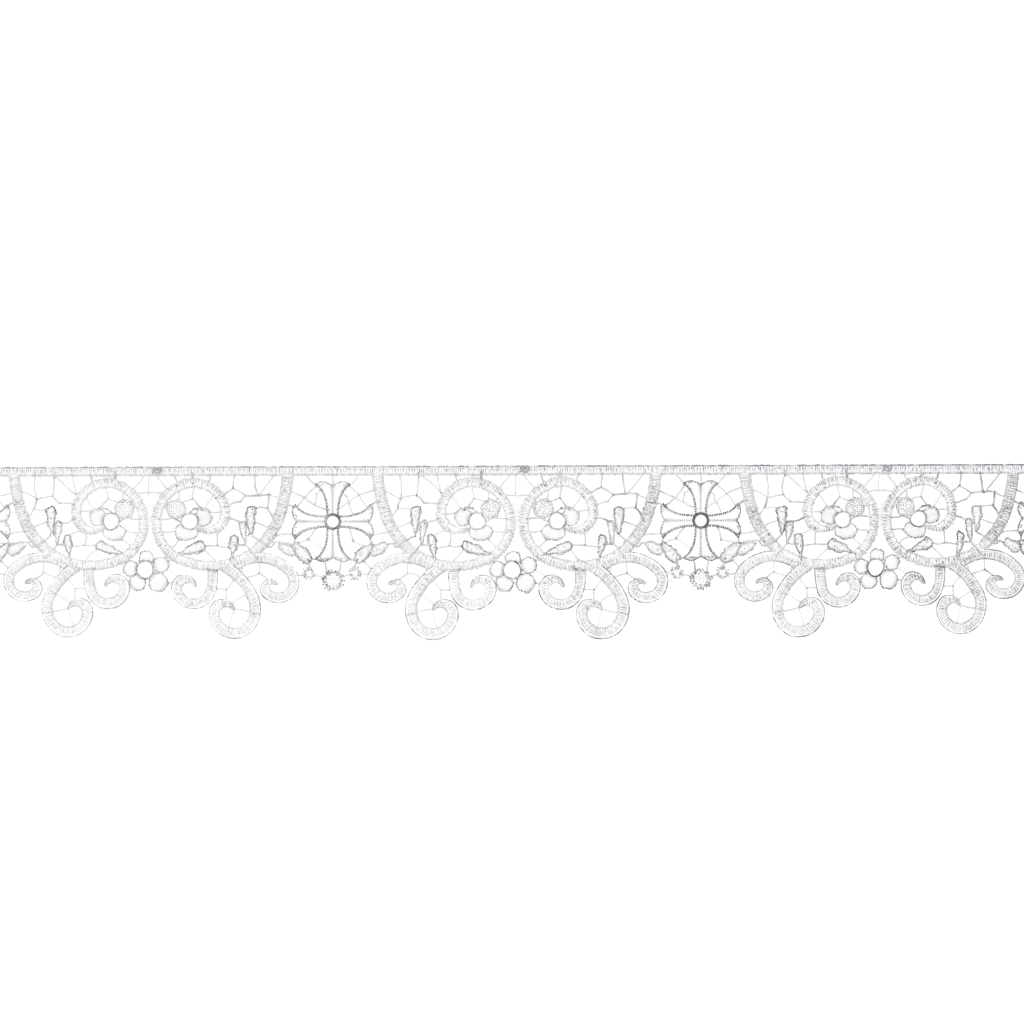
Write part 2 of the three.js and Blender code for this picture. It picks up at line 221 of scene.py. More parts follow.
def spun_tape(name, tape):
    deselect()
    heading = math.radians(tape.heading)
    height = BODY_HEIGHT + tape.lifted
    bpy.ops.mesh.primitive_circle_add(vertices=BODY_SIDES, radius=1,
                                      location=in_metres(tape.across, tape.down, height / 2),
                                      rotation=(math.pi / 2, 0, heading + math.pi / 2))
    body = bpy.context.object
    body.name = name
    body.scale = ((tape.width / 2 - BODY_INSET) * MM, height / 2 * MM, 1)
    bpy.ops.object.transform_apply(location=True, rotation=True, scale=True)
    bpy.ops.object.mode_set(mode="EDIT")
    bpy.ops.mesh.select_all(action="SELECT")
    across, down = tape.across, tape.down
    for radius, turn in tape.arcs:
        turn = math.radians(turn)
        pivot = (across - radius * math.sin(heading), down - radius * math.cos(heading))
        bpy.ops.mesh.spin(steps=max(3, round(radius * turn / SPIN_SPACING)), angle=-turn,
                          center=in_metres(*pivot, 0), axis=(0, 0, 1))
        heading += turn
        across = pivot[0] + radius * math.sin(heading)
        down = pivot[1] + radius * math.cos(heading)
    closed_ends()
    bpy.ops.object.mode_set(mode="OBJECT")
    rings = mesh_points(body).reshape(-1, BODY_SIDES, 3)
    middles = rings.mean(axis=1, keepdims=True)
    steps = np.linalg.norm(np.diff(middles[:, 0], axis=0), axis=1)
    to_tip = (steps.sum() - np.concatenate([[0], np.cumsum(steps)])) / MM
    fullness = np.minimum(1, TIP_WIDTH / tape.width + to_tip / TAPER_LENGTH)
    move_points(body, middles + (rings - middles) * fullness[:, None, None])
    return body


half_bodies = [spun_tape(name, tape) for name, tape in TAPES.items()]
print("spun", [len(body.data.polygons) for body in half_bodies], "faces")

# %% [markdown]
# ## Padded petals, leaves and rosettes
# A petal is a low cushion of run stitches. A sphere of its radius, squashed and then bisected at the
# surface, gives a dome with a flat underside. A leaf is the same dome drawn out from a round head to a
# narrow tip: its points are moved along the leaf by a short outline of width against length.

# %% Petals and rosettes as bisected spheres
Spot = namedtuple("Spot", "across down radius wide", defaults=[1])
Flower = namedtuple("Flower", "eyelet inner petals")
MIDDLE_FLOWER = Flower(Spot(-2.7, 54.1, 5.1), 3.7,
                       [Spot(-2, 48.1, 4.2), Spot(6, 51.5, 4.4), Spot(4.4, 60.7, 5.2),
                        Spot(-6.6, 60.9, 4.6), Spot(-10.3, 53.6, 4.3)])
RING_FLOWER = Flower(Spot(-20.8, 28.8, 4.8), 3.5,
                     [Spot(-13.8, 22.4, 5.2), Spot(-27.8, 26.7, 4.8), Spot(-19, 34.5, 4.7, wide=1.38)])
ROSETTES = [Spot(0, 59.4, 5.6), Spot(-12.4, 55.8, 3.4), Spot(11.2, 55.8, 3.4)]
CUSHION_HEIGHT, CUSHION_INSET = 1, 0.35
ROSETTE_HEIGHT, ROSETTE_INSET = 0.9, 0.25


def dome(name, spot, height, inset=CUSHION_INSET):
    deselect()
    bpy.ops.mesh.primitive_uv_sphere_add(segments=16, ring_count=8, radius=1,
                                         location=in_metres(spot.across, spot.down, 0))
    body = bpy.context.object
    body.name = name
    reach = (spot.radius - inset) * MM
    body.scale = (reach * spot.wide, reach, height * MM)
    bpy.ops.object.transform_apply(location=True, rotation=True, scale=True)
    bpy.ops.object.mode_set(mode="EDIT")
    bpy.ops.mesh.select_all(action="SELECT")
    bpy.ops.mesh.bisect(plane_co=(0, 0, 0), plane_no=(0, 0, 1), use_fill=True, clear_inner=True)
    face_outward()
    bpy.ops.object.mode_set(mode="OBJECT")
    return body


def away_from_eyelet(body, flower):
    """Draw the dome's points out of the open eyelet, up to its ring."""
    middle = np.array(in_metres(flower.eyelet.across, flower.eyelet.down, 0))
    ring = (flower.inner + flower.eyelet.radius) / 2 * MM
    for vertex in body.data.vertices:
        out = np.array(vertex.co) - middle
        distance = math.hypot(out[0], out[1])
        if 0 < distance < ring:
            vertex.co.xy = middle[:2] + out[:2] * ring / distance


def padded_flower(name, flower):
    bodies = []
    for i, spot in enumerate(flower.petals):
        bodies.append(dome(f"{name}_petal_{i}", spot, CUSHION_HEIGHT))
        away_from_eyelet(bodies[-1], flower)
    return bodies


half_bodies += padded_flower("ring_flower", RING_FLOWER)
axis_bodies = padded_flower("middle_flower", MIDDLE_FLOWER)
cross_bodies = [dome(f"rosette_{i}", spot, ROSETTE_HEIGHT, ROSETTE_INSET * spot.radius)
                for i, spot in enumerate(ROSETTES)]
print(len(RING_FLOWER.petals), "and", len(MIDDLE_FLOWER.petals), "petals,", len(ROSETTES), "rosettes")

# %% Leaves drawn out of a dome
LEAF_ALONG = (0, 0.06, 0.15, 0.3, 0.5, 0.75, 1)
TEARDROP = (0.6, 0.9, 1, 1, 0.84, 0.3, 0.1)
BLUNT = (0.7, 0.95, 1, 1, 0.86, 0.54, 0.25)
OVAL = (0.4, 0.75, 0.92, 1, 1, 0.8, 0.35)
Leaf = namedtuple("Leaf", "head tip width weight fullness", defaults=[TEARDROP])
# A leaf's weight deepens only the painted shade of its outline.
LEAVES = [Leaf((-53, 21.8), (-52.6, 35.8), 5.4, 1, BLUNT),
          Leaf((-48.3, 28.8), (-49.8, 40.6), 4.2, 0.6, BLUNT),
          Leaf((-44.5, 36.1), (-42.4, 50), 4.5, 1),
          Leaf((-28.2, 41.1), (-13.4, 46.5), 5.6, 0.9)]
CROSS_LEAVES = [Leaf((11.6, 49.8), (20.2, 40.6), 6.2, 0.8, OVAL),
                Leaf((19.7, 45.4), (28, 40.6), 6, 0.5, OVAL)]
LEAF_INSET, POLE_WIDTH = 0.3, 0.05


def leaf_axis(leaf):
    head = np.array([leaf.head[0], -leaf.head[1]])
    tip = np.array([leaf.tip[0], -leaf.tip[1]])
    length = np.linalg.norm(tip - head)
    along = (tip - head) / length
    return head, along, np.array([-along[1], along[0]]), length


def padded_leaf(name, leaf):
    body = dome(name, Spot(0, header_top, 1), CUSHION_HEIGHT, inset=0)
    head, along, left, length = leaf_axis(leaf)
    for vertex in body.data.vertices:
        share = 0.5 + vertex.co.x / MM / 2
        across = vertex.co.y / MM / max(POLE_WIDTH, math.sqrt(1 - min(1, (2 * share - 1) ** 2)))
        width = (leaf.width / 2 - LEAF_INSET) * np.interp(share, LEAF_ALONG, leaf.fullness)
        spot = head + along * length * share + left * width * max(-1, min(1, across))
        vertex.co.xy = (spot[0] * MM, (header_top + spot[1]) * MM)
    body.data.update()
    return body


half_bodies += [padded_leaf(f"leaf_{i}", leaf) for i, leaf in enumerate(LEAVES)]
cross_leaf_bodies = [padded_leaf(f"cross_leaf_{i}", leaf) for i, leaf in enumerate(CROSS_LEAVES)]
print(len(LEAVES), "leaves in half a scallop,", len(CROSS_LEAVES), "on each side of a cross")

# %% [markdown]
# ## The arms of the cross
# Each arm is a flat padded shape: narrow at the ring, flared toward its end, and dipped in the middle of
# that end. A grid gives rows and columns that can be laid along those curves. Its rim is then extruded
# down to the surface, so that the arm is a closed form.

# %% Cross arms from a grid
CROSS_DOWN = 28.9
CROSS_RING = (2.9, 4.5)
ARM_ROOT, ARM_TIP = 5.4 / 2, 17.4 / 2
ARM_CORNER, ARM_LOBE, ARM_DIP, ARM_FLARE = 19.2, 22.3, 18.4, 15
LOBE_SHARE = 0.6
arm_start = sum(CROSS_RING) / 2
ARM_HEIGHT, ARM_FALL = 0.85, 0.3
BODY_ACROSS, BODY_ALONG = 0.97, 0.98


def bent(start, control, end, share):
    """A point on a curve from start to end that a control point draws toward itself."""
    share = np.asarray(share, float)[..., None]
    start, control, end = (np.array(p, float) for p in (start, control, end))
    return start * (1 - share) ** 2 + control * 2 * share * (1 - share) + end * share ** 2


def arm_side(share):
    return bent((ARM_ROOT, arm_start), (ARM_ROOT, ARM_FLARE), (ARM_TIP, ARM_CORNER), share)


def arm_end(share):
    return bent((0, ARM_DIP), (ARM_TIP * LOBE_SHARE, ARM_LOBE), (ARM_TIP, ARM_CORNER), share)


def on_arm(across, along):
    """The place on an upright arm: across from -1 to 1 between its sides, along from ring to end."""
    across, along = np.broadcast_arrays(np.asarray(across, float), np.asarray(along, float))
    side, end = arm_side(along), arm_end(np.abs(across))
    x = np.sign(across) * end[..., 0] / ARM_TIP * side[..., 0]
    y = arm_start + (end[..., 1] - arm_start) * (side[..., 1] - arm_start) / (ARM_CORNER - arm_start)
    return np.stack([x, y], -1)


def quarter_turned(points, turns):
    angle = turns * math.pi / 2
    x, y = points[..., 0], points[..., 1]
    turned = points.copy()
    turned[..., 0] = x * math.cos(angle) - y * math.sin(angle)
    turned[..., 1] = x * math.sin(angle) + y * math.cos(angle) - CROSS_DOWN
    return turned


def cross_arm(turns):
    deselect()
    bpy.ops.mesh.primitive_grid_add(x_subdivisions=8, y_subdivisions=14, size=2)
    body = bpy.context.object
    body.name = f"cross_arm_{turns}"
    for vertex in body.data.vertices:
        across, along = vertex.co.x, (vertex.co.y + 1) / 2
        spot = quarter_turned(on_arm(across * BODY_ACROSS, along * BODY_ALONG), turns)
        height = ARM_HEIGHT * (1 - ARM_FALL * across ** 4)
        vertex.co = (spot[0] * MM, (header_top + spot[1]) * MM, height * MM)
    bpy.ops.object.mode_set(mode="EDIT")
    bpy.ops.mesh.select_all(action="SELECT")
    bpy.ops.mesh.region_to_loop()
    bpy.ops.mesh.extrude_region_move()
    bpy.ops.transform.resize(value=(1, 1, 0), center_override=(0, 0, 0))
    bpy.ops.mesh.edge_face_add()
    face_outward()
    bpy.ops.object.mode_set(mode="OBJECT")
    return body


cross_bodies += [cross_arm(turns) for turns in range(4)]
print("four arms of", len(cross_bodies[-1].data.polygons), "faces")

# %% [markdown]
# ## Header and collar bodies
# The header is one straight padded tape for the whole length, and a short stitched collar joins the two
# large rings. A cube drawn out to size, with its edges bevelled, gives each.

# %% Straight bodies from bevelled cubes
COLLAR_TOP, COLLAR_BOTTOM, COLLAR_WIDTH = 19.5, 33, 8
COLLAR_HEIGHT = BODY_HEIGHT * 0.8
HEADER_SHORTER, HEADER_NARROWER = 0.6, 0.7
BEVEL_SHARE = 0.4


def straight_body(name, across, down, length, width, height):
    deselect()
    bpy.ops.mesh.primitive_cube_add(size=1, location=in_metres(across, down, height / 2))
    body = bpy.context.object
    body.name = name
    body.scale = (length * MM, width * MM, height * MM)
    bpy.ops.object.transform_apply(location=True, rotation=True, scale=True)
    bevel = body.modifiers.new("softened edges", "BEVEL")
    bevel.width = height * BEVEL_SHARE * MM
    bevel.segments = 2
    bpy.ops.object.modifier_apply(modifier=bevel.name)
    return body


header_body = straight_body("header_body", 0, HEADER_WIDTH / 2, draft_length - HEADER_SHORTER,
                            HEADER_WIDTH - HEADER_NARROWER, BODY_HEIGHT)
axis_bodies.append(straight_body("collar_body", 0, (COLLAR_TOP + COLLAR_BOTTOM) / 2, COLLAR_WIDTH,
                                 COLLAR_BOTTOM - COLLAR_TOP, COLLAR_HEIGHT))
print("header body", [round(side, 4) for side in header_body.dimensions], "m, and a collar")

# %% [markdown]
# ## Mirror, copy and join the bodies
# Half a scallop is mirrored, and each finished motif is copied along the edging, every copy with its own
# mesh. A mirrored mesh is inside out, so its normals are recalculated. All bodies are then joined, since
# they are one cloth, and laid from the draft to where they lie.

# %% One joined cloth body
CREASE = math.radians(50)


def copies(bodies, shift, mirrored=False):
    made = []
    for body in bodies:
        twin = body.copy()
        twin.data = body.data.copy()
        bpy.context.collection.objects.link(twin)
        twin.location.x = shift * MM
        twin.scale.x = -1 if mirrored else 1
        made.append(twin)
    return made


all_bodies = [header_body]
for axis in scallop_axes:
    all_bodies += copies(half_bodies, axis) + copies(half_bodies, axis, True) + copies(axis_bodies, axis)
for axis in cross_axes:
    all_bodies += copies(cross_bodies + cross_leaf_bodies, axis) + copies(cross_leaf_bodies, axis, True)
for body in half_bodies + axis_bodies + cross_bodies + cross_leaf_bodies:
    bpy.data.objects.remove(body)
deselect()
for body in all_bodies:
    body.select_set(True)
bpy.context.view_layer.objects.active = header_body
bpy.ops.object.transform_apply(location=True, rotation=True, scale=True)
bpy.ops.object.join()
cloth = header_body
cloth.name = "padded_ground"
bpy.ops.object.mode_set(mode="EDIT")
face_outward()
bpy.ops.mesh.quads_convert_to_tris()
bpy.ops.object.mode_set(mode="OBJECT")
bpy.ops.object.shade_smooth_by_angle(angle=CREASE)
move_points(cloth, laid(mesh_points(cloth) / MM - (0, header_top, 0)))

# %% [markdown]
# ## Threads as joined meshes
# The lace holds thousands of stitches. Modelling each with operators would take hours, so a helper makes
# closed threads along many paths at once, as arrays. A thread is a ring of points carried along its path.
# Three things are kept at each point for the material: how high it lies on the thread, from which the
# material paints shade on its flanks, a tone of painted shade for the stitch, and the distance along and
# around the thread.

# %% Closed threads along paths
Threads = namedtuple("Threads", "points quads ends lift tone along")
UPRIGHT = np.array([0.0, 0.0, 1.0])


def thread_faces(count, stations, sides):
    """Corner numbers of the quads along each thread, and of the triangles that close its ends."""
    per_thread = stations * sides + 2
    starts = np.arange(count)[:, None, None] * per_thread
    station, corner = np.meshgrid(np.arange(stations - 1), np.arange(sides), indexing="ij")
    near = station * sides + corner
    beside = station * sides + (corner + 1) % sides
    quads = np.stack([near, beside, beside + sides, near + sides], -1).reshape(1, -1, 4) + starts
    corner = np.arange(sides)
    following = (corner + 1) % sides
    last = (stations - 1) * sides
    first_cap = np.stack([np.full(sides, per_thread - 2), following, corner], -1)
    last_cap = np.stack([np.full(sides, per_thread - 1), corner + last, following + last], -1)
    ends = np.concatenate([first_cap, last_cap])[None] + starts
    return quads.reshape(-1, 4), ends.reshape(-1, 3)


def threads(paths, radius, sides=6, flat=1.0, tone=0.0, ply=0.0, pitch=1.2, plies=2):
    """paths holds (thread, station, xyz) in mm. A ply above 0 twists the thread like a rope."""
    paths = np.asarray(paths, float)
    count, stations, _ = paths.shape
    ahead = np.gradient(paths, axis=1)
    ahead /= np.linalg.norm(ahead, axis=2, keepdims=True)
    side = np.cross(UPRIGHT, ahead)
    side /= np.linalg.norm(side, axis=2, keepdims=True)
    up = np.cross(ahead, side)
    steps = np.linalg.norm(np.diff(paths, axis=1), axis=2)
    walked = np.concatenate([np.zeros((count, 1)), np.cumsum(steps, axis=1)], axis=1)
    angle = np.arange(sides) * 2 * math.pi / sides - math.pi / 2
    twist = plies * angle - 2 * math.pi * walked[:, :, None] / pitch
    reach = np.broadcast_to(radius, (count, stations))[:, :, None] * (1 + ply * np.cos(twist))
    rings = (paths[:, :, None]
             + (reach * np.cos(angle))[..., None] * side[:, :, None]
             + (reach * flat * np.sin(angle))[..., None] * up[:, :, None])
    points = np.concatenate([rings.reshape(count, -1, 3), paths[:, [0, -1]]], axis=1)
    # The crest share: the material paints the flanks and underside below it in a crevice shade.
    crest = np.maximum(0, np.sin(angle)) * (1 - ply / 2) + ply / 2 * np.cos(twist)
    lift = np.concatenate([crest.reshape(count, -1), np.zeros((count, 2))], axis=1)
    tones = np.broadcast_to(np.asarray(tone, float), (count, stations))
    tones = np.concatenate([np.repeat(tones, sides, axis=1), tones[:, [0, -1]]], axis=1)
    around = np.broadcast_to((angle + math.pi / 2) / (2 * math.pi), (count, stations, sides))
    along = np.stack([np.broadcast_to(walked[:, :, None], around.shape), around], -1)
    along = np.concatenate([along.reshape(count, -1, 2), np.zeros((count, 2, 2))], axis=1)
    return Threads(points.reshape(-1, 3), *thread_faces(count, stations, sides),
                   np.clip(lift, 0, 1).ravel(), tones.ravel(), along.reshape(-1, 2))


def upright(flat_path, height):
    """A path on the draft, with its height over the surface added."""
    flat_path = np.asarray(flat_path, float)
    height = np.broadcast_to(height, flat_path.shape[:-1])
    return np.concatenate([flat_path, height[..., None]], -1)


def one_thread(flat_path, height, radius, tone, **twist):
    """A single thread whose radius and tone may change along it."""
    return threads(upright(flat_path, height)[None], radius, tone=np.clip(tone, 0, 1), **twist)


sample = one_thread([(0, 0), (1, 0), (2, 0)], 1, 0.2, 0.5)
print("a thread of 3 rings has", len(sample.quads), "faces along it and", len(sample.ends), "at its ends")

# %% [markdown]
# ## From threads to a piece
# Threads that belong together become one mesh. A motif is worked at the origin of the draft and shifted,
# or mirrored first, to its place. A short table of places and shares deepens the painted shade of the
# tones toward the right end of the length.

# %% Bundles, copies and pieces
SHADE_DEEPENING = [(-313, 0.8), (-100, 0.9), (0, 1), (100, 1.25), (190, 1.6), (313, 2.1)]
# The ratio printed is that of the painted shade at the two ends.
print("the right end is stitched", round(SHADE_DEEPENING[-1][1] / SHADE_DEEPENING[0][1], 1), "times as densely as the left")


def together(bundles):
    """One bundle from many."""
    firsts = np.cumsum([0] + [len(b.points) for b in bundles[:-1]])
    counted = [b._replace(quads=b.quads + first, ends=b.ends + first) for b, first in zip(bundles, firsts)]
    return Threads(*map(np.concatenate, zip(*counted)))


def shifted(bundle, shift, mirrored=False):
    points = bundle.points * ((-1, 1, 1) if mirrored else (1, 1, 1)) + (shift, 0, 0)
    if mirrored:
        return bundle._replace(points=points, quads=bundle.quads[:, ::-1], ends=bundle.ends[:, ::-1])
    return bundle._replace(points=points)


def thread_piece(name, bundle):
    # The tone is painted shade, deepened toward the right end by the table.
    tones = bundle.tone * np.interp(bundle.points[:, 0], *zip(*SHADE_DEEPENING))
    mesh = bpy.data.meshes.new(name)
    points = laid(bundle.points)
    corners = np.concatenate([bundle.quads.ravel(), bundle.ends.ravel()])
    face_starts = np.concatenate([np.arange(len(bundle.quads)) * 4,
                                  bundle.quads.size + np.arange(len(bundle.ends)) * 3])
    mesh.vertices.add(len(points))
    mesh.vertices.foreach_set("co", points.ravel())
    mesh.loops.add(len(corners))
    mesh.loops.foreach_set("vertex_index", corners.astype(np.int32))
    mesh.polygons.add(len(face_starts))
    mesh.polygons.foreach_set("loop_start", face_starts.astype(np.int32))
    mesh.update(calc_edges=True)
    mesh.shade_smooth()
    mesh.uv_layers.new(name="along").data.foreach_set("uv", bundle.along[corners].ravel())
    for attribute, values in (("lift", bundle.lift), ("tone", np.minimum(1, tones))):
        mesh.attributes.new(attribute, "FLOAT", "POINT").data.foreach_set("value", values)
    piece = bpy.data.objects.new(name, mesh)
    bpy.context.collection.objects.link(piece)
    print(name, 2 * len(bundle.quads) + len(bundle.ends), "triangles")
    return piece


def placed(pair, axis, mirrored=False):
    """A motif's white threads and its threads darkened with painted shade, at its place along the edging.
    """
    return [shifted(bundle, axis, mirrored) for bundle in pair]


def pair_of_pieces(white_name, dark_name, motifs):
    """One piece of all the white threads and one of all the threads with painted shade, of the motifs."""
    whites, darks = zip(*motifs)
    return thread_piece(white_name, together(whites)), thread_piece(dark_name, together(darks))


# %% Single stitches
STITCH_PLACES = np.array([-1, -0.4, 0.4, 1])
STITCH_GIRTH = np.array([0.6, 1, 1, 0.6])
STITCH_SHADE = np.array([0.35, 1, 1, 0.35])
STITCH_ARCH = 0.12
chance = np.random.default_rng(seed=7)


def short_stitches(middle, lean, length, girth, height, tone):
    """Single stitches about the given middles, thickest in their middle, where their painted shade is
    deepest.
    """
    reach = np.stack([np.cos(lean), np.sin(lean)], 1) * np.asarray(length)[:, None] / 2
    path = middle[:, None] + reach[:, None] * STITCH_PLACES[:, None]
    arch = np.broadcast_to(height, len(middle))[:, None] - STITCH_ARCH * STITCH_PLACES ** 2
    tones = np.clip(tone, 0, 1)[:, None] * STITCH_SHADE
    return threads(upright(path, arch), girth * STITCH_GIRTH, sides=4, tone=tones)


print("a single stitch is drawn with", len(STITCH_PLACES), "rings of four points")

# %% [markdown]
# ## Satin stitch over the tapes
# Each stitch runs straight across the tape, from one edge to the other, over the padding. On the stem, bowl
# and ring the edges are ragged; on the scrolls the stitches stop short of a roll along the outer edge. The
# right half of every scallop gets a little deeper painted shade than the left.

# %% Satin across the tapes
SATIN_PITCH = 0.48
SATIN_RADIUS = 0.27
SATIN_FLAT = 0.62
SATIN_LOW, SATIN_CROWN = 0.5, 0.3
SATIN_SHARES = np.array([0, 0.3, 0.7, 1])
SATIN_SLANT = 0.1
SATIN_TONE = 0.08
INNER_RAGGED, OUTER_RAGGED = (-0.1, 0.5), (-0.8, 0.2)
ROLL_ROOM = 1.2
NARROWEST = 0.1
TIP_CROWN = 0.4
CONTOUR_RADIUS = 0.3
# HEAVIER_RIGHT deepens the painted shade of every right half; on bars it also thickens them.
HEAVIER_RIGHT = 1.3


def satin(start, end, low, crown, tone):
    """Stitches from start to end points (stitch, xy), arched between them, with a tone per stitch."""
    share = SATIN_SHARES
    flat_path = start[:, None] * (1 - share[:, None]) + end[:, None] * share[:, None]
    low, crown, tone = (np.broadcast_to(value, len(start))[:, None] for value in (low, crown, tone))
    path = upright(flat_path, low + crown * 4 * (share - share ** 2))
    return threads(path, SATIN_RADIUS, sides=4, flat=SATIN_FLAT, tone=np.clip(tone, 0, 1))


def ahead_of(route):
    """The direction in which a tape runs."""
    return np.stack([route.left[:, 1], -route.left[:, 0]], 1)


def toward_tip(route, most, within):
    """A share of painted shade that grows where a curl narrows to its tip."""
    return most * np.maximum(0, within - route.fullness)


def tape_satin(tape, deeper_shade):
    route = walk(tape, SATIN_PITCH)
    count = len(route.along)
    slant = chance.normal(0, SATIN_SLANT, (count, 2))
    inner_edge = 0 if tape.contours else chance.uniform(*INNER_RAGGED, count)
    if tape.roll:
        outer_edge = 2 * CONTOUR_RADIUS + ROLL_ROOM * tape.roll
    else:
        outer_edge = chance.uniform(*OUTER_RAGGED, count)
    to_inner = np.maximum(NARROWEST, route.half - inner_edge)[:, None]
    to_outer = np.maximum(NARROWEST, route.half - outer_edge)[:, None]
    inner = route.middle + route.left * to_inner + ahead_of(route) * slant[:, :1]
    outer = route.middle - route.left * to_outer + ahead_of(route) * slant[:, 1:]
    crown = SATIN_CROWN * np.maximum(TIP_CROWN, route.fullness)
    tone = deeper_shade * chance.uniform(0, SATIN_TONE, count) + toward_tip(route, 0.4, within=0.5)
    return satin(inner, outer, SATIN_LOW + tape.lifted, crown, tone)


def both_halves(make, names):
    """The left and the right half of the named tapes, the right with deeper painted shade, worked anew for
    every scallop.
    """
    bundles = []
    for axis in scallop_axes:
        for mirrored, deeper_shade in ((False, 1), (True, HEAVIER_RIGHT)):
            bundles += [shifted(make(TAPES[name], deeper_shade), axis, mirrored) for name in names]
    return together(bundles)


MAIN_TAPE, SCROLLS = list(TAPES)[:1], list(TAPES)[1:]
satin_bowls = thread_piece("satin_bowls", both_halves(tape_satin, MAIN_TAPE))
satin_scrolls = thread_piece("satin_scrolls", both_halves(tape_satin, SCROLLS))

# %% [markdown]
# ## Rungs and stray stitches
# The machine lays satin in groups, and between two groups a rung shows: a short stitch whose colour holds
# the painted shade of the gap between the groups. A tape's table of rungs gives, at distances along it, how
# deep that painted shade is, their place from the outer edge as a share of the width, and their length. On
# the stem they are a ladder; on the bowl and ring they crowd the outer edge. More stitches are strewn where
# tapes cross and where a curl ends: each row of that table gives a stretch of the tape, how far across it
# they spread, how many there are and how deep their painted shade is.

# %% Rungs between groups of satin
GROUP_SIZES = (2, 3, 3)
RUNG_RADIUS = 0.19
RUNG_OVER = 0.2
RUNG_ASIDE, RUNG_AHEAD, RUNG_LEAN = 0.06, 0.08, 0.05
RUNG_LENGTHS, RUNG_TONES = (0.7, 1.15), (0.4, 1.2)


def between_groups(count, group_sizes=GROUP_SIZES):
    """Numbers of the stitches where one group of satin ends and the next begins."""
    steps = np.cumsum(chance.choice(group_sizes, count))
    return steps[steps < count]


def picked(route, at):
    """Some places of a walk, by their numbers."""
    return Walk(*(column[at] for column in route))


def angle_of(direction):
    return np.arctan2(direction[:, 1], direction[:, 0])


def tape_rungs(tape, deeper_shade):
    route = walk(tape, SATIN_PITCH)
    here = picked(route, between_groups(len(route.along)))
    count = len(here.along)
    along, darkness, place, reach = zip(*tape.rungs)
    aside = 1 - 2 * np.interp(here.along, along, place) + chance.normal(0, RUNG_ASIDE, count)
    middle = here.middle - here.left * (aside * here.half)[:, None]
    middle = middle + ahead_of(here) * chance.normal(0, RUNG_AHEAD, (count, 1))
    lean = angle_of(here.left) + chance.normal(0, RUNG_LEAN, count)
    length = np.interp(here.along, along, reach) * chance.uniform(*RUNG_LENGTHS, count)
    length = length * here.half * 2 / tape.width
    height = SATIN_LOW + tape.lifted + RUNG_OVER + SATIN_CROWN * (1 - aside ** 2)
    tone = deeper_shade * np.interp(here.along, along, darkness) * chance.uniform(*RUNG_TONES, count)
    return short_stitches(middle, lean, length, RUNG_RADIUS, height, tone)


rungs = thread_piece("satin_rungs", both_halves(tape_rungs, list(TAPES)))

# %% Stitches strewn where tapes cross
STRAY_RADIUS = 0.2
STRAY_OVER, STRAY_FALL = 0.12, 0.3
STRAY_LEAN = 0.25
STRAY_LENGTHS = (1, 2.2)
STRAY_PALEST = 0.1


def strewn_stitches(tape, deeper_shade):
    route = walk(tape, SATIN_PITCH)
    bundles = []
    for first, last, spread, count, darkest in tape.strewn:
        at = np.searchsorted(route.along, chance.uniform(first, last, count))
        here = picked(route, np.minimum(at, len(route.along) - 1))
        aside = chance.uniform(-spread, spread, count) * here.half
        middle = here.middle - here.left * aside[:, None]
        lean = angle_of(here.left) + chance.normal(0, STRAY_LEAN, count)
        top = SATIN_LOW + SATIN_CROWN + tape.lifted + STRAY_OVER
        height = top - STRAY_FALL * (aside / here.half) ** 2
        tone = deeper_shade * chance.uniform(STRAY_PALEST, darkest, count)
        length = chance.uniform(*STRAY_LENGTHS, count)
        bundles.append(short_stitches(middle, lean, length, STRAY_RADIUS, height, tone))
    return together(bundles)


strays = thread_piece("stray_stitches", both_halves(strewn_stitches, list(TAPES)))

# %% [markdown]
# ## The header's satin
# The header is worked like a tape, in one run. Its groups of satin are marked by dabs, short stitches whose
# colour holds painted shade, that hang from the corded edge, no two of the same length.

# %% Satin and dabs across the header
HEADER_END = 0.4
HEADER_DRIFT = 0.07
HEADER_LIFT, HEADER_CROWN = 0.2, 0.3
HEADER_TONE = 0.06
DAB_RADIUS = 0.2
DAB_OVER = 0.42
DAB_GROUPS = (2, 2, 3, 3)
DAB_DRIFT, DAB_LEAN = 0.1, 0.06
DAB_LENGTHS, DAB_STARTS, DAB_TONES = (1.1, 2.7), (0.8, 1.6), (0.2, 0.95)

stitch_x = np.arange(-draft_length / 2 + HEADER_END, draft_length / 2 - HEADER_END, SATIN_PITCH)
drift = chance.normal(0, HEADER_DRIFT, (len(stitch_x), 2))
upper = np.stack([stitch_x + drift[:, 0], np.full_like(stitch_x, -CONTOUR_RADIUS)], 1)
lower = np.stack([stitch_x + drift[:, 1], np.full_like(stitch_x, CONTOUR_RADIUS - HEADER_WIDTH)], 1)
header_tone = chance.uniform(0, HEADER_TONE, len(stitch_x))
satin_header = thread_piece("satin_header", satin(upper, lower, SATIN_LOW + HEADER_LIFT, HEADER_CROWN,
                                                  header_tone))

at = between_groups(len(stitch_x), DAB_GROUPS)
dab_length = chance.uniform(*DAB_LENGTHS, len(at))
dab_down = dab_length / 2 + chance.uniform(*DAB_STARTS, len(at))
dab_middle = np.stack([stitch_x[at] + chance.normal(0, DAB_DRIFT, len(at)), -dab_down], 1)
dab_height = SATIN_LOW + DAB_OVER + HEADER_CROWN * (1 - (1 - 2 * dab_down / HEADER_WIDTH) ** 2)
dab_lean = math.pi / 2 + chance.normal(0, DAB_LEAN, len(at))
dab_tone = chance.uniform(*DAB_TONES, len(at))
header_dabs = thread_piece("header_dabs", short_stitches(dab_middle, dab_lean, dab_length, DAB_RADIUS,
                                                         dab_height, dab_tone))
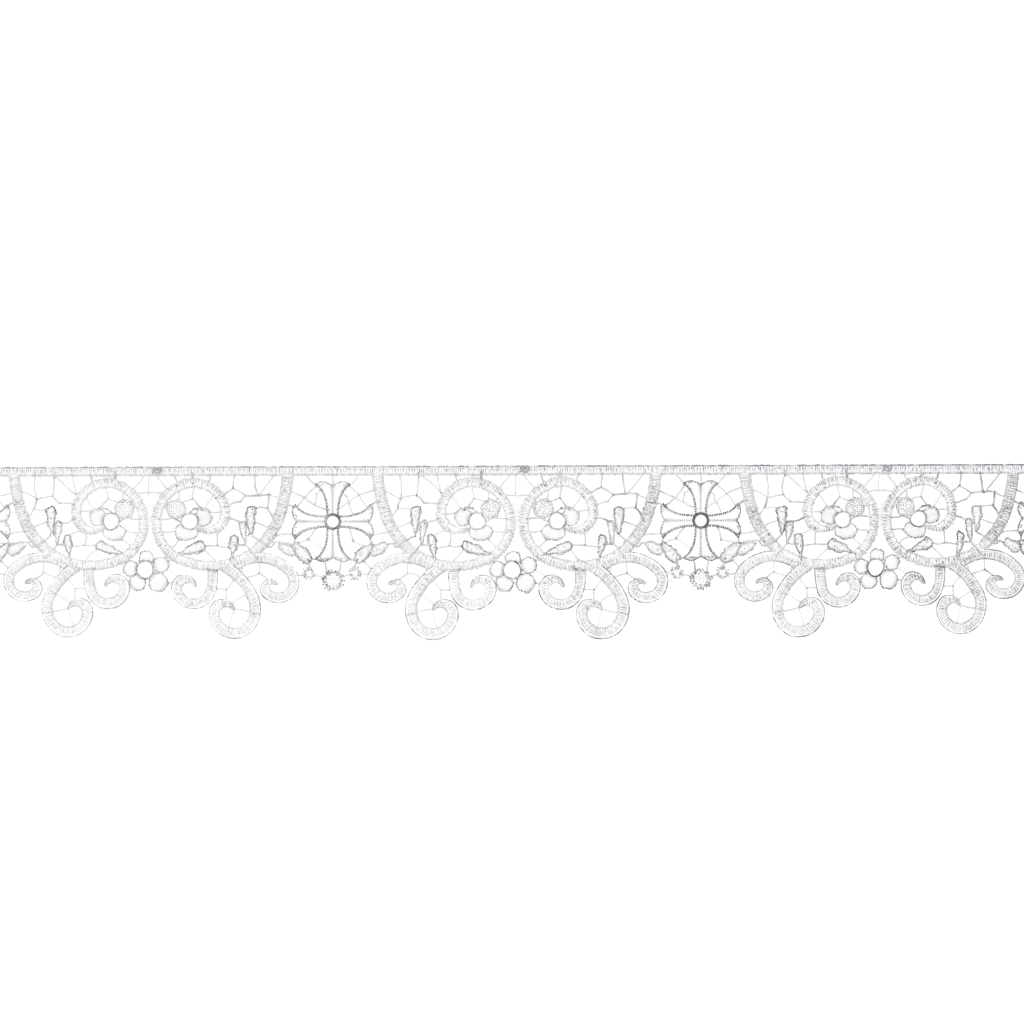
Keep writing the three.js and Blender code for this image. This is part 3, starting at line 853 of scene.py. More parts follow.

# %% [markdown]
# ## Edge threads
# A fine contour thread is couched along both edges of a scroll, and a fat white roll lies just inside the
# outer one. A contour wanders by a fraction of its width, and its painted shade is deeper here and lighter
# there, with a dot of deeper painted shade where a couching stitch pulls it down. A scroll's table of
# contours gives, at distances along it, how deep the painted shade of the outer and the inner one is. The
# inner edge of the bowl and ring has only dashes, and fine threads run down the stem.

# %% Contours along the scrolls
CORD_SPACING = 0.46
CONTOUR_TWIST = {"sides": 5, "ply": 0.12, "pitch": 1.3, "plies": 1}
COUCHED_TONES, DOT_TONE, DOT_SHARE = (0.15, 1.1), 1.1, 0.25
WANDER, WANDER_LIMIT = 0.035, 0.2
CONTOUR_NARROWEST = 0.12
INNER_OFFSET, INNER_RADIUS, INNER_HEIGHT = -CONTOUR_RADIUS * 0.7, CONTOUR_RADIUS * 0.75, 0.6
OUTER_OFFSET, OUTER_HEIGHT = CONTOUR_RADIUS * 1.6, 0.7
INSIDE_RADIUS = 0.17
INSIDE_OFFSET, INSIDE_HEIGHT, INSIDE_TONE = CONTOUR_RADIUS * 2.9, 0.8, 0.5


def patchy(count, least=0.2, most=1.45, reach=3):
    """A share around 1 that changes along a thread, deepening its painted shade here and lightening it
    there.
    """
    coarse = chance.uniform(least, most, count // reach + 2)
    return np.interp(np.arange(count) / reach, np.arange(len(coarse)), coarse)


def couched(count):
    """A share of painted shade along a couched thread, with dots of deeper painted shade where it is sewn
    down.
    """
    return patchy(count, *COUCHED_TONES) + DOT_TONE * (chance.random(count) < DOT_SHARE)


def edge_thread(route, side, offset, radius, height, tone):
    to_edge = np.maximum(CONTOUR_NARROWEST, route.half - offset)
    middle = route.middle + side * route.left * to_edge[:, None]
    wander = np.cumsum(chance.normal(0, WANDER, len(middle)))
    wander -= np.linspace(0, wander[-1], len(wander))
    middle = middle + route.left * np.clip(wander, -WANDER_LIMIT, WANDER_LIMIT)[:, None]
    tone = tone * couched(len(middle)) + toward_tip(route, 0.5, within=0.6)
    return one_thread(middle, height, radius, tone, **CONTOUR_TWIST)


def tape_contours(tape, deeper_shade):
    route = walk(tape, CORD_SPACING)
    along, outer, inner = (np.array(column) for column in zip(*tape.contours))
    outer = np.interp(route.along, along, outer) * deeper_shade ** 0.5
    inner = np.interp(route.along, along, inner) * deeper_shade ** 0.5
    return together([
        edge_thread(route, 1, INNER_OFFSET, INNER_RADIUS, INNER_HEIGHT + tape.lifted, inner),
        edge_thread(route, -1, OUTER_OFFSET, CONTOUR_RADIUS, OUTER_HEIGHT + tape.lifted, outer),
        edge_thread(route, -1, INSIDE_OFFSET + 2 * tape.roll, INSIDE_RADIUS, INSIDE_HEIGHT + tape.lifted,
                    INSIDE_TONE * outer)])


contours = thread_piece("contours", both_halves(tape_contours, SCROLLS))

# %% Dashes along the bowl and threads down the stem
DASH_PITCH, DASH_SHARE = 1.3, 0.6
DASH_RADIUS = 0.2
DASH_HEIGHT, DASH_LEAN = 0.75, 0.25
DASH_INSETS, DASH_LENGTHS, DASH_TONES = (0, 0.5), (0.8, 1.8), (0, 0.4)
STEM_LINES = [(-2.8, 44), (2.8, 42), (-0.9, 30), (0.9, 24)]
STEM_TONE = 0.4


def edge_dashes(tape, deeper_shade):
    """Short stitches here and there along the plain inner edge of a tape."""
    route = walk(tape, DASH_PITCH)
    here = picked(route, np.flatnonzero(chance.random(len(route.along)) < DASH_SHARE))
    count = len(here.along)
    middle = here.middle + here.left * (here.half - chance.uniform(*DASH_INSETS, count))[:, None]
    lean = angle_of(ahead_of(here)) + chance.normal(0, DASH_LEAN, count)
    length = chance.uniform(*DASH_LENGTHS, count)
    tone = deeper_shade * chance.uniform(*DASH_TONES, count)
    return short_stitches(middle, lean, length, DASH_RADIUS, DASH_HEIGHT + tape.lifted, tone)


def stem_lines(tape, deeper_shade):
    """Fine threads down the stem, listed by their place across it and where they end."""
    route = walk(tape, CORD_SPACING)
    height = SATIN_LOW + SATIN_CROWN + tape.lifted
    bundles = []
    for aside, last in STEM_LINES:
        here = picked(route, route.along < last)
        path = here.middle + here.left * aside
        tone = STEM_TONE * deeper_shade * couched(len(path))
        bundles.append(one_thread(path, height, INSIDE_RADIUS, tone, sides=4))
    return together(bundles)


dashes = thread_piece("edge_dashes", together([both_halves(edge_dashes, MAIN_TAPE),
                                               both_halves(stem_lines, MAIN_TAPE)]))

# %% Rolls along the scrolls
ROLL_TWIST = {"sides": 6, "ply": 0.07, "pitch": 0.75, "plies": 1}
ROLL_HEIGHT, ROLL_TONE = 0.58, 0.06
ROLL_OFFSET = CONTOUR_RADIUS * 2.6
ROLL_THINNEST = 0.35


def tape_roll(tape, deeper_shade):
    """The roll is white on both halves, so it takes no notice of the deeper painted shade of the right one.
    """
    route = walk(tape, CORD_SPACING)
    radius = tape.roll * np.maximum(ROLL_THINNEST, route.fullness)
    aside = np.maximum(NARROWEST, route.half - ROLL_OFFSET - radius)
    middle = route.middle - route.left * aside[:, None]
    tone = ROLL_TONE + toward_tip(route, 0.5, within=0.5)
    return one_thread(middle, ROLL_HEIGHT + tape.lifted, radius, tone, **ROLL_TWIST)


rolls = thread_piece("rolls", both_halves(tape_roll, SCROLLS))

# %% [markdown]
# ## Threads along the header
# A heavy cord finishes the straight edge, and a fine thread the lower one. Each row below gives how far
# down a thread lies, its radius, height and tone. Two slow waves keep them from running dead straight.

# %% Contours of the header
# The tone of each header thread is painted shade.
HEADER_THREADS = [(0.42, 0.4, 1.1, 0.88), (HEADER_WIDTH - 0.1, 0.24, 0.8, 0.32)]
HEADER_WAVES = [(0.08, 1.7), (0.06, 0.61)]
header_run = np.arange(-draft_length / 2, draft_length / 2, CORD_SPACING)
header_wave = sum(size * np.sin(header_run * rate) for size, rate in HEADER_WAVES)


def header_thread(down, radius, height, tone):
    path = np.stack([header_run, -down + header_wave], 1)
    return one_thread(path, height, radius, tone * couched(len(header_run)), **CONTOUR_TWIST)


header_contours = thread_piece("header_contours", together([header_thread(*row) for row in HEADER_THREADS]))

# %% [markdown]
# ## Bars
# Single twisted threads tie the forms together. The table lists where each bar starts and ends, as across
# and down on the draft, and a weight: 1 for a common bar, more for a doubled one. A bar bows a little and
# ends in a small whipped knot on the form that it meets. Some run on over a tape, and have no knot there.

# %% The table of bars
BOTH_HALVES = [
    (-2.8, 4.5, -9.2, 12, 0.8), (-32, 4.5, -30.3, 10, 1.2), (-15.1, 10.5, -15.1, 18.8, 0.8),
    (-64, 32.4, -55, 29, 0.9), (-48, 29.6, -40.8, 27.2, 1.3),
    (-35, 33.5, -35.3, 41.4, 0.9), (-43, 42.4, -35.3, 41.4, 0.9), (-35.3, 41.4, -28.6, 41.3, 1),
    (-36, 51, -28, 43.4, 0.7), (-40.5, 24, -31, 24, 0.8), (-33.8, 15, -28.4, 23.2, 0.7),
    (-23.5, 10.5, -22.3, 16.9, 0.7), (-22.3, 16.9, -27.2, 23, 1.2), (-22.3, 16.9, -16.5, 18.9, 0.8),
    (-16.2, 29, -12.3, 27, 1.1), (-12.3, 27, -5, 27.8, 1), (-57, 50, -57, 55.8, 0.5),
    (-57, 55.8, -61, 58.8, 0.9), (-57, 55.8, -50, 58.2, 0.7), (-43.5, 59.5, -39.8, 64.3, 0.5),
    (-39.8, 64.3, -35, 64.3, 0.6), (-39.8, 64.3, -39.8, 71, 0.7), (-50.8, 66.8, -42.8, 71.6, 0.6),
    (-54, 76.5, -43.7, 74.4, 0.7), (-15, 38.5, -9.5, 43.5, 0.7), (-12.5, 34, -5, 34.5, 0.8),
    (-48, 50, -48, 56.3, 0.6), (-43.9, 75.5, -41.5, 84, 0.35), (-49.3, 41, -44.5, 41.3, 1.4),
    (-27, 21.8, -23, 22.2, 1.6), (-23, 22.2, -20.5, 24.3, 1),
]
LEFT_HALF = [
    (-61, 4.5, -60.3, 17.1, 0.9), (-51, 5.5, -52, 15.5, 1), (-60.3, 17.1, -52, 15.5, 1.1),
    (-68.5, 13, -60.3, 17.1, 0.8), (-60.3, 17.1, -61.8, 22.3, 1.6), (-61.8, 22.3, -54.5, 22.5, 0.7),
    (-61.8, 22.3, -65.5, 28.5, 0.9), (-52, 15.5, -48.3, 19.2, 1.3), (-48.3, 19.2, -40.5, 19.7, 1.1),
    (-50.8, 4.5, -38.5, 15.8, 0.9), (-41.5, 4.5, -39.5, 14, 0.8), (-18.3, 4.5, -18.4, 10, 1.6),
    (-43.1, 36, -35.8, 32.9, 0.7),
]
RIGHT_HALF = [
    (12.4, 4.5, 14.4, 10, 1.1), (44.4, 4.5, 43.6, 11.4, 1.2), (43.6, 11.4, 34.5, 16.8, 1.4),
    (43.6, 11.4, 50.1, 15.3, 1.2), (50.1, 15.3, 62.3, 14.7, 1.5), (50.1, 15.3, 47.2, 18.6, 1.1),
    (47.2, 18.6, 41, 20.6, 1.1), (54.8, 4.5, 56.4, 15, 1.4), (65.5, 4.5, 57, 15, 0.9),
    (62.3, 14.7, 61.5, 22, 1.6), (62.3, 14.7, 69, 17.6, 0.9), (61.5, 22, 53.5, 22.5, 1),
    (61.5, 22, 65.5, 28.5, 1.6), (22.5, 4.5, 22.6, 9, 1.5),
]
ON_AXIS = [
    (-0.4, 4.5, -0.8, 14.5, 0.5), (-9, 14.5, 9, 14.5, 1), (-11.4, 49.9, -12, 48, 1),
    (9.6, 49.4, 12, 48.5, 0.8), (-14, 60, -10.8, 60.3, 1), (9.6, 60.8, 14, 61, 1),
    (9.3, 54.4, 14.5, 57.5, 0.5),
]
AT_CROSS = [
    (-8.4, 10.6, -17.9, 20.8, 1.1), (-14.5, 16.3, -2, 22.8, 1.1), (8.4, 10.6, 13.3, 15, 0.8),
    (13.3, 15, 17.8, 21.5, 0.8), (13.3, 15, 2, 22.8, 0.7), (8.6, 32.5, 10.4, 38.9, 1.1),
    (10.4, 38.9, 19.8, 40.8, 0.7), (-8.6, 32.5, -12.7, 38, 0.9), (-12.7, 38, -19.8, 40.8, 0.7),
    (19.2, 36, 19.8, 41, 1.2), (-19.2, 36, -19.8, 41, 1.3), (-7.5, 48.5, -12.6, 48.5, 1.1),
    (7.5, 48.5, 12.6, 48.5, 1.3), (-12.5, 49, -12.4, 54, 1.5), (12.3, 49, 11.2, 54, 1.4),
    (-4.5, 48, -3, 56, 1.2), (4.5, 48, 3, 56, 1.1), (-14, 4.5, -8.4, 10.4, 1), (0, 4.5, 0, 11, 1),
    (14, 4.5, 8.4, 10.4, 0.8), (-12.7, 38, -4.5, 43.5, 0.5), (-5.2, 12.4, -8.4, 14.5, 0.7),
    (-8.4, 14.5, -8.8, 19.3, 0.8), (5, 13.4, 7.1, 15.8, 0.7), (7.1, 15.8, 8.4, 19.9, 0.8),
    (8.4, 19.9, 10.7, 25.6, 0.7), (-10, 56.3, -4, 57.8, 1), (9, 56.3, 4, 57.8, 1.1),
    (16.4, 50, 19.5, 53.2, 0.8),
]
LEFT_OF_CROSS = [
    (-24.5, 12, -14.5, 16.3, 1.1), (-24, 18.5, -19, 21, 1.3), (-29, 36.2, -18.5, 36, 0.9),
    (-33, 39.8, -20, 40.6, 0.9), (-22, 56.5, -14, 56.5, 1),
]
RIGHT_OF_CROSS = [
    (24.5, 11.5, 13.3, 15, 1), (24, 18.5, 19, 21, 1.9), (29, 34.2, 18.5, 36, 0.9),
    (33, 39.8, 20, 40.6, 0.9), (22, 56.5, 13, 56.5, 0.9),
]
KNOTS_AT_CROSS = [(-12.7, 38, 0.95), (10.4, 38.9, 0.95), (-14.5, 16.3, 0.6), (13.3, 15, 0.6)]
OVER_BOWL = [(-56.2, 48.4, -49.5, 40.2, 0.9), (-34.8, 54.4, -29.6, 53.6, 1.7), (-62, 42.2, -53, 36.2, 1),
             (-65, 39.9, -63.3, 41.9, 0.9), (-63.3, 41.9, -62, 42.2, 1)]
OVER_SCROLL = [(-57.2, 77.2, -53.8, 76.5, 0.8)]
OVER_HEADER = [
    (-18.4, 6, -18.4, 2.8, 1.6), (-18.4, 2.8, -21.3, 0.6, 1), (-51, 6, -50.9, 3.2, 1.7),
    (-41.5, 4.8, -41, 1.9, 0.8), (22.5, 6, 22.3, 3.4, 1.4),
]


def heavier_mirrored(table):
    return [(-a, b, -c, d, weight * HEAVIER_RIGHT ** 0.6) for a, b, c, d, weight in table]


scallop_bars = BOTH_HALVES + heavier_mirrored(BOTH_HALVES) + LEFT_HALF + RIGHT_HALF + ON_AXIS
over_bowl = OVER_BOWL + heavier_mirrored(OVER_BOWL)
over_scroll = OVER_SCROLL + heavier_mirrored(OVER_SCROLL)
print(len(scallop_bars), "bars in a scallop and", len(AT_CROSS), "at a cross")

# %% Twisted bars with whipped ends
BAR_RADIUS = 0.4
BAR_HEIGHT = 0.62
BAR_RISE = 0.25
BAR_SPACING = 0.6
BAR_TWIST = {"sides": 5, "ply": 0.22, "pitch": 1.3}
BAR_BOW, BAR_SHAKE, SHAKE_RATE = 0.05, 0.1, 1.3
PALE_WEIGHT, PALE_TONE, TONE_STEP, TONE_SPREAD = 0.8, 0.2, 0.5, 0.06
OVER_HEADER_HEIGHT, OVER_BOWL_HEIGHT, OVER_SCROLL_HEIGHT = 1.1, 1.45, 1.1
KNOT_SIZES, KNOT_DARKER, KNOT_OVER = (0.4, 0.75), (0.2, 0.7), 0.1
KNOT_REACH, KNOT_FLAT = 0.6, 0.8
KNOT_GIRTH = np.array([0.45, 0.95, 0.95, 0.45])
LONE_KNOT_OVER, LONE_KNOT_TONES = 0.2, (0.8, 1)


def whipped_knot(spot, height, size, tone):
    """A short fat thread wound at the end of a bar."""
    turn = chance.uniform(0, math.pi)
    reach = np.array([math.cos(turn), math.sin(turn)]) * size * KNOT_REACH
    path = spot + np.linspace(-1, 1, len(KNOT_GIRTH))[:, None] * reach
    return one_thread(path, height, size * KNOT_GIRTH, tone, sides=6, flat=KNOT_FLAT)


def twisted_bar(bar, middle_height, knotted):
    start = np.array([bar[0], -bar[1]])
    end = np.array([bar[2], -bar[3]])
    weight = bar[4]
    length = np.linalg.norm(end - start)
    share = np.linspace(0, 1, max(5, int(length / BAR_SPACING)))
    aside = np.array([start[1] - end[1], end[0] - start[0]]) / length
    bow = chance.normal(0, BAR_BOW) * length
    shake = BAR_SHAKE * np.sin(share * length * SHAKE_RATE + chance.uniform(0, 6))
    path = start + (end - start) * share[:, None]
    path = path + aside * (4 * bow * (share - share ** 2) + shake * np.sin(share * math.pi))[:, None]
    height = middle_height + BAR_RISE * (2 * share - 1) ** 4
    # The tone is painted shade, deeper on heavier bars; the knots take deeper painted shade still.
    tone = PALE_TONE + TONE_STEP * (weight - PALE_WEIGHT) + chance.normal(0, TONE_SPREAD)
    made = [one_thread(path, height, BAR_RADIUS * weight ** 0.5, tone * patchy(len(share)), **BAR_TWIST)]
    for spot in (start, end) if knotted else ():
        size = chance.uniform(*KNOT_SIZES) * weight ** 0.4
        made.append(whipped_knot(spot, height[0] + KNOT_OVER, size, tone + chance.uniform(*KNOT_DARKER)))
    return together(made)


def lone_knot(across, down, size):
    spot = np.array([across, -down])
    return whipped_knot(spot, BAR_HEIGHT + LONE_KNOT_OVER, size, chance.uniform(*LONE_KNOT_TONES))


def bars_about(axis, table, height=BAR_HEIGHT, knotted=True):
    return [twisted_bar((a + axis, b, c + axis, d, weight), height, knotted)
            for a, b, c, d, weight in table]


bar_bundles = []
for axis in scallop_axes:
    bar_bundles += bars_about(axis, scallop_bars)
    bar_bundles += bars_about(axis, OVER_HEADER, OVER_HEADER_HEIGHT, knotted=False)
    bar_bundles += bars_about(axis, over_bowl, OVER_BOWL_HEIGHT, knotted=False)
    bar_bundles += bars_about(axis, over_scroll, OVER_SCROLL_HEIGHT, knotted=False)
for i, axis in enumerate(cross_axes):
    table = AT_CROSS + (LEFT_OF_CROSS if i > 0 else []) + (RIGHT_OF_CROSS if i < SCALLOPS else [])
    bar_bundles += bars_about(axis, table)
    bar_bundles += [lone_knot(across + axis, down, size) for across, down, size in KNOTS_AT_CROSS]
bars = thread_piece("bars", together(bar_bundles))

# %% [markdown]
# ## The cross
# The cross is the heaviest stitching of all, with the deepest painted shade: a row of beads along both
# sides of each arm, smaller ones round its end with a knot at each corner, a fine vein up the middle, and a
# ring wound with thread, all of them darkened with painted shade. The satin of each arm runs from the vein
# out to the sides, and is plain white, with a few stitches of painted shade strewn in the lobes. Tables of
# four go round the arms, and the one toward the scallops has the deepest painted shade.

# %% Rows of beads and wound rings
BEAD_PITCH, BEAD_LENGTH = 1.12, 0.75
BEAD_LEAN, BEAD_DRIFT = 0.3, 0.08
BEAD_LENGTHS, DARKEST_BEAD = (0.8, 1.2), 1.2
CORD_UNDER, CORD_GIRTH, CORD_STEP = 0.2, 0.7, 0.55


def evenly(path, spacing):
    """The same path with evenly spaced points."""
    steps = np.concatenate([[0], np.cumsum(np.linalg.norm(np.diff(path, axis=0), axis=1))])
    places = np.linspace(0, steps[-1], max(4, int(round(steps[-1] / spacing)) + 1))
    return np.stack([np.interp(places, steps, path[:, i]) for i in range(path.shape[1])], 1)


def beaded(path, girth, height, tone, pitch=BEAD_PITCH, least=0.4, under=0.05):
    """Small fat stitches like beads along a path, no two quite alike, with painted shade in their colour,
    over a thread of paler painted shade.
    """
    cord = evenly(np.asarray(path, float), CORD_STEP)
    path = evenly(cord, pitch)
    count = len(path)
    lean = angle_of(np.gradient(path, axis=0)) + chance.normal(0, BEAD_LEAN, count)
    length = BEAD_LENGTH * pitch * chance.uniform(*BEAD_LENGTHS, count)
    middle = path + chance.normal(0, BEAD_DRIFT, (count, 2))
    tones = tone * chance.uniform(least, DARKEST_BEAD, count)
    return together([one_thread(cord, height - CORD_UNDER, CORD_GIRTH * girth, under, sides=5),
                     short_stitches(middle, lean, length, girth, height, tones)])


def wound_ring(spot, radius, girth, height, tone, winds, shade=0, uneven=0, least=0.35, most=1.3):
    """A ring wound closely with thread, closed on itself, with painted shade in its colour that is lighter
    toward the scallops by the given shade.
    """
    angle = np.linspace(0, 2 * math.pi, winds * 3 + 1)
    waves = np.sin(2 * angle + chance.uniform(0, 6)) + np.sin(3 * angle + chance.uniform(0, 6))
    reach = radius * (1 + uneven * waves)
    path = np.stack([spot[0] + reach * np.cos(angle), spot[1] + reach * np.sin(angle)], 1)
    tones = (tone - shade * np.maximum(0, -np.sin(angle))) * patchy(len(angle), least, most)
    pitch = 2 * math.pi * radius / winds
    return one_thread(path, height, girth, tones, sides=8, ply=0.1, pitch=pitch, plies=1)


arm_outline = arm_side(np.linspace(0, 1, 60))
print(len(evenly(arm_outline, BEAD_PITCH)), "beads go along each side of an arm")

# %% Beads, vein and satin of the cross
SIDE_BEAD, SIDE_HEIGHT, SIDE_TONE, SIDE_LEAST = 0.55, 1.15, 1.6, 0.5
END_BEAD, END_HEIGHT, END_TONES = 0.44, 1.05, (1, 1.1, 1.8, 1.1)
VEIN_BEAD, VEIN_TONE, VEIN_LEAST = 0.26, 0.5, 0.2
ARM_TOP = 1.2
CORNER_SHARE, CORNER_TONES = 0.98, (0.6, 1)
FROM_VEIN, TO_SIDE, VEIN_ROWS = 0.02, 0.93, 0.96
ARM_SATIN_LOW, ARM_SATIN_CROWN = 0.9, 0.15
LOBE_STITCHES, LOBE_RADIUS = (4, 4, 12, 4), 0.25
LOBE_ACROSS, LOBE_ALONG = (0.25, 0.9), (0.82, 0.96)
LOBE_LENGTHS, LOBE_TONES = (0.7, 1.4), (0, 0.7)
RING_GIRTH, RING_HEIGHT, RING_TONE, RING_SHADE = 0.66, 1.15, 1.5, 0.6
RING_WINDS, RING_LEAST = 34, 0.8


def lobe_stitches(side, turns):
    count = LOBE_STITCHES[turns]
    spots = on_arm(side * chance.uniform(*LOBE_ACROSS, count), chance.uniform(*LOBE_ALONG, count))
    lean = chance.uniform(0, math.pi, count)
    length = chance.uniform(*LOBE_LENGTHS, count)
    tone = chance.uniform(*LOBE_TONES, count)
    return short_stitches(quarter_turned(spots, turns), lean, length, LOBE_RADIUS, ARM_TOP, tone)


def arm_threads(turns):
    share = np.linspace(0, 1, 60)
    rise = arm_side(share)[:, 1]
    rows = np.interp(np.arange(rise[0], rise[-1], SATIN_PITCH), rise, share)
    whites, darks = [], []
    for side in (-1, 1):
        flip = np.array([side, 1])
        outline = quarter_turned(arm_side(share) * flip, turns)
        darks.append(beaded(outline, SIDE_BEAD, SIDE_HEIGHT, SIDE_TONE, least=SIDE_LEAST))
        outline = quarter_turned(arm_end(share) * flip, turns)
        darks.append(beaded(outline, END_BEAD, END_HEIGHT, END_TONES[turns]))
        corner = quarter_turned(arm_side(np.array(CORNER_SHARE)) * flip, turns)
        size = chance.uniform(*KNOT_SIZES)
        darks.append(whipped_knot(corner, ARM_TOP, size, chance.uniform(*CORNER_TONES)))
        starts = quarter_turned(on_arm(FROM_VEIN * side, rows * VEIN_ROWS), turns)
        ends = quarter_turned(on_arm(TO_SIDE * side, rows), turns)
        whites.append(satin(starts, ends, ARM_SATIN_LOW, ARM_SATIN_CROWN, 0))
        darks.append(lobe_stitches(side, turns))
    vein = quarter_turned(np.array([(0, arm_start), (0, ARM_DIP)]), turns)
    darks.append(beaded(vein, VEIN_BEAD, ARM_TOP, VEIN_TONE, least=VEIN_LEAST))
    return together(whites), together(darks)


def cross_threads():
    whites, darks = map(list, zip(*[arm_threads(turns) for turns in range(4)]))
    darks.append(wound_ring((0, -CROSS_DOWN), arm_start, RING_GIRTH, RING_HEIGHT, RING_TONE, RING_WINDS,
                            shade=RING_SHADE, least=RING_LEAST))
    return together(whites), together(darks)


crosses_satin, crosses_beads = pair_of_pieces(
    "crosses_satin", "crosses_beads", [placed(cross_threads(), axis) for axis in cross_axes])

# %% [markdown]
# ## Flowers
# The satin of a petal runs away from the eyelet, over the cushion, and is nearly as white as the table.
# What draws the flower is a row of stitches round the outside of the petals, darkened with painted shade:
# points of one petal's rim that fall inside another petal or the eyelet are left out, and the ends are
# knotted. The rims of the middle flower carry deep painted shade, those in the ring light, and one petal
# there holds seed stitches, not satin.

# %% Rims and satin of the petals
RIM_BEAD = 0.36
EYELET_CLEAR, PETAL_CLEAR = 1.1, 0.88
ROUGH_STEP, ROUGH_EVERY = 0.4, 4
PETAL_PITCH, PETAL_LOW, PETAL_CROWN = 0.47, 0.8, 0.28
FIRST_STITCH, LAST_STITCH = 0.3, 0.2
INTO_RING, LONGEST_CUT = 0.3, 0.9


def centre(spot):
    return np.array([spot.across, -spot.down])


def apart(points, spot):
    """How far points lie from the middle of a spot, as a share of its radius."""
    across, down = ((points - centre(spot)) / (spot.radius * spot.wide, spot.radius)).T
    return np.hypot(across, down)


def roughened(path, by):
    """An evenly spaced path, pushed about by a fraction of a millimetre as stitching is."""
    path = evenly(np.asarray(path, float), ROUGH_STEP)
    at = np.arange(len(path)) / ROUGH_EVERY
    pushes = chance.normal(0, by, (len(path) // ROUGH_EVERY + 2, 2))
    return path + np.stack([np.interp(at, np.arange(len(pushes)), pushes[:, i]) for i in (0, 1)], 1)


def rim_runs(spot, flower):
    """The stretches of a petal's rim that no other petal and no eyelet covers."""
    angle = np.linspace(0, 2 * math.pi, 90)
    reach = spot.radius - RIM_BEAD
    rim = centre(spot) + np.stack([reach * spot.wide * np.cos(angle), reach * np.sin(angle)], 1)
    keep = apart(rim, flower.eyelet) > EYELET_CLEAR
    for other in flower.petals:
        if other is not spot:
            keep &= apart(rim, other) > PETAL_CLEAR
    first = int(np.argmin(keep))
    runs, run = [], []
    for i in (np.arange(len(rim)) + first) % len(rim):
        if keep[i]:
            run.append(rim[i])
        elif run:
            runs.append(run)
            run = []
    return [np.array(run) for run in runs + [run] if len(run) > 3]


def petal_satin(spot, flower, hatch):
    out = centre(spot) - centre(flower.eyelet)
    out /= np.linalg.norm(out)
    aside = np.array([-out[1], out[0]])
    reach = spot.radius - RIM_BEAD
    offset = np.arange(-reach + FIRST_STITCH, reach - LAST_STITCH, PETAL_PITCH / spot.wide)
    chord = np.sqrt(reach ** 2 - offset ** 2)[:, None]
    stretch = np.array([spot.wide, 1])
    ends = centre(spot) + (aside * offset[:, None] + out * chord) * stretch
    starts = centre(spot) + (aside * offset[:, None] - out * chord) * stretch
    run = ends - starts
    from_eyelet = starts - centre(flower.eyelet)
    squared = (run ** 2).sum(axis=1)
    leaning = (from_eyelet * run).sum(axis=1)
    ring = flower.eyelet.radius - INTO_RING
    past = leaning ** 2 - squared * ((from_eyelet ** 2).sum(axis=1) - ring ** 2)
    cut = np.clip((np.sqrt(np.maximum(0, past)) - leaning) / squared, 0, LONGEST_CUT) * (past > 0)
    starts = starts + run * cut[:, None]
    domed = PETAL_CROWN * (1 - (offset / spot.radius) ** 2)
    return satin(starts, ends, PETAL_LOW, domed, hatch * chance.random(len(offset)))


runs_by_petal = [len(rim_runs(spot, MIDDLE_FLOWER)) for spot in MIDDLE_FLOWER.petals]
print("runs of rim on the petals of the middle flower:", runs_by_petal)

# %% Seed stitches and whole flowers
SEED_RADIUS, SEED_LENGTH, SEEDS_IN_PETAL = 0.36, 0.9, 66
SEED_LEAN, SEED_TONES = (0.9, 0.4), (0.2, 1.3)
SEED_LOW, SEED_DOME, FLATTEST = 0.35, 0.85, 0.1
RIM_PITCH, RIM_HEIGHT, RIM_LEAST, RIM_ROUGH = 1.4, 0.96, 0.1, 0.3
UNDER_RIM = 0.35
RIM_KNOTS, RIM_KNOT_HEIGHT, RIM_KNOT_TONE = (0.4, 0.65), 0.95, 0.8
EYELET_GIRTH, EYELET_HEIGHT, EYELET_OUT = 0.42, 1.0, 0.15
EYELET_WINDS, EYELET_UNEVEN = 36, 0.03
WORKED_FLOWERS = [
    (RING_FLOWER, False, 1, (0.3, 0.5, 0.7), 0.6, 0.08),
    (RING_FLOWER, True, 1, (0.35, 0.6, 0.8), 0.7, 0.1),
    (MIDDLE_FLOWER, False, 0, (0.9, 0.95, 1.25, 1.05, 1), 0.8, 0),
]


def seed_stitches(spot, count, clear_of=None, tone=0.7):
    """Short fat stitches scattered evenly over a spot, turning as a sunflower's seeds do."""
    number = np.arange(count) + 0.5
    radius = spot.radius * np.sqrt(number / count)
    angle = number * math.pi * (3 - math.sqrt(5))
    middle = centre(spot) + np.stack([radius * np.cos(angle), radius * np.sin(angle)], 1)
    if clear_of is not None:
        outside = apart(middle, clear_of) > 1
        middle, radius, angle = middle[outside], radius[outside], angle[outside]
    lean = angle + chance.normal(*SEED_LEAN, len(angle))
    domed = np.sqrt(np.maximum(FLATTEST, 1 - (radius / spot.radius) ** 2))
    height = SEED_LOW + CUSHION_HEIGHT * domed * SEED_DOME
    tones = tone * chance.uniform(*SEED_TONES, len(middle))
    return short_stitches(middle, lean, np.full(len(middle), SEED_LENGTH), SEED_RADIUS, height, tones)


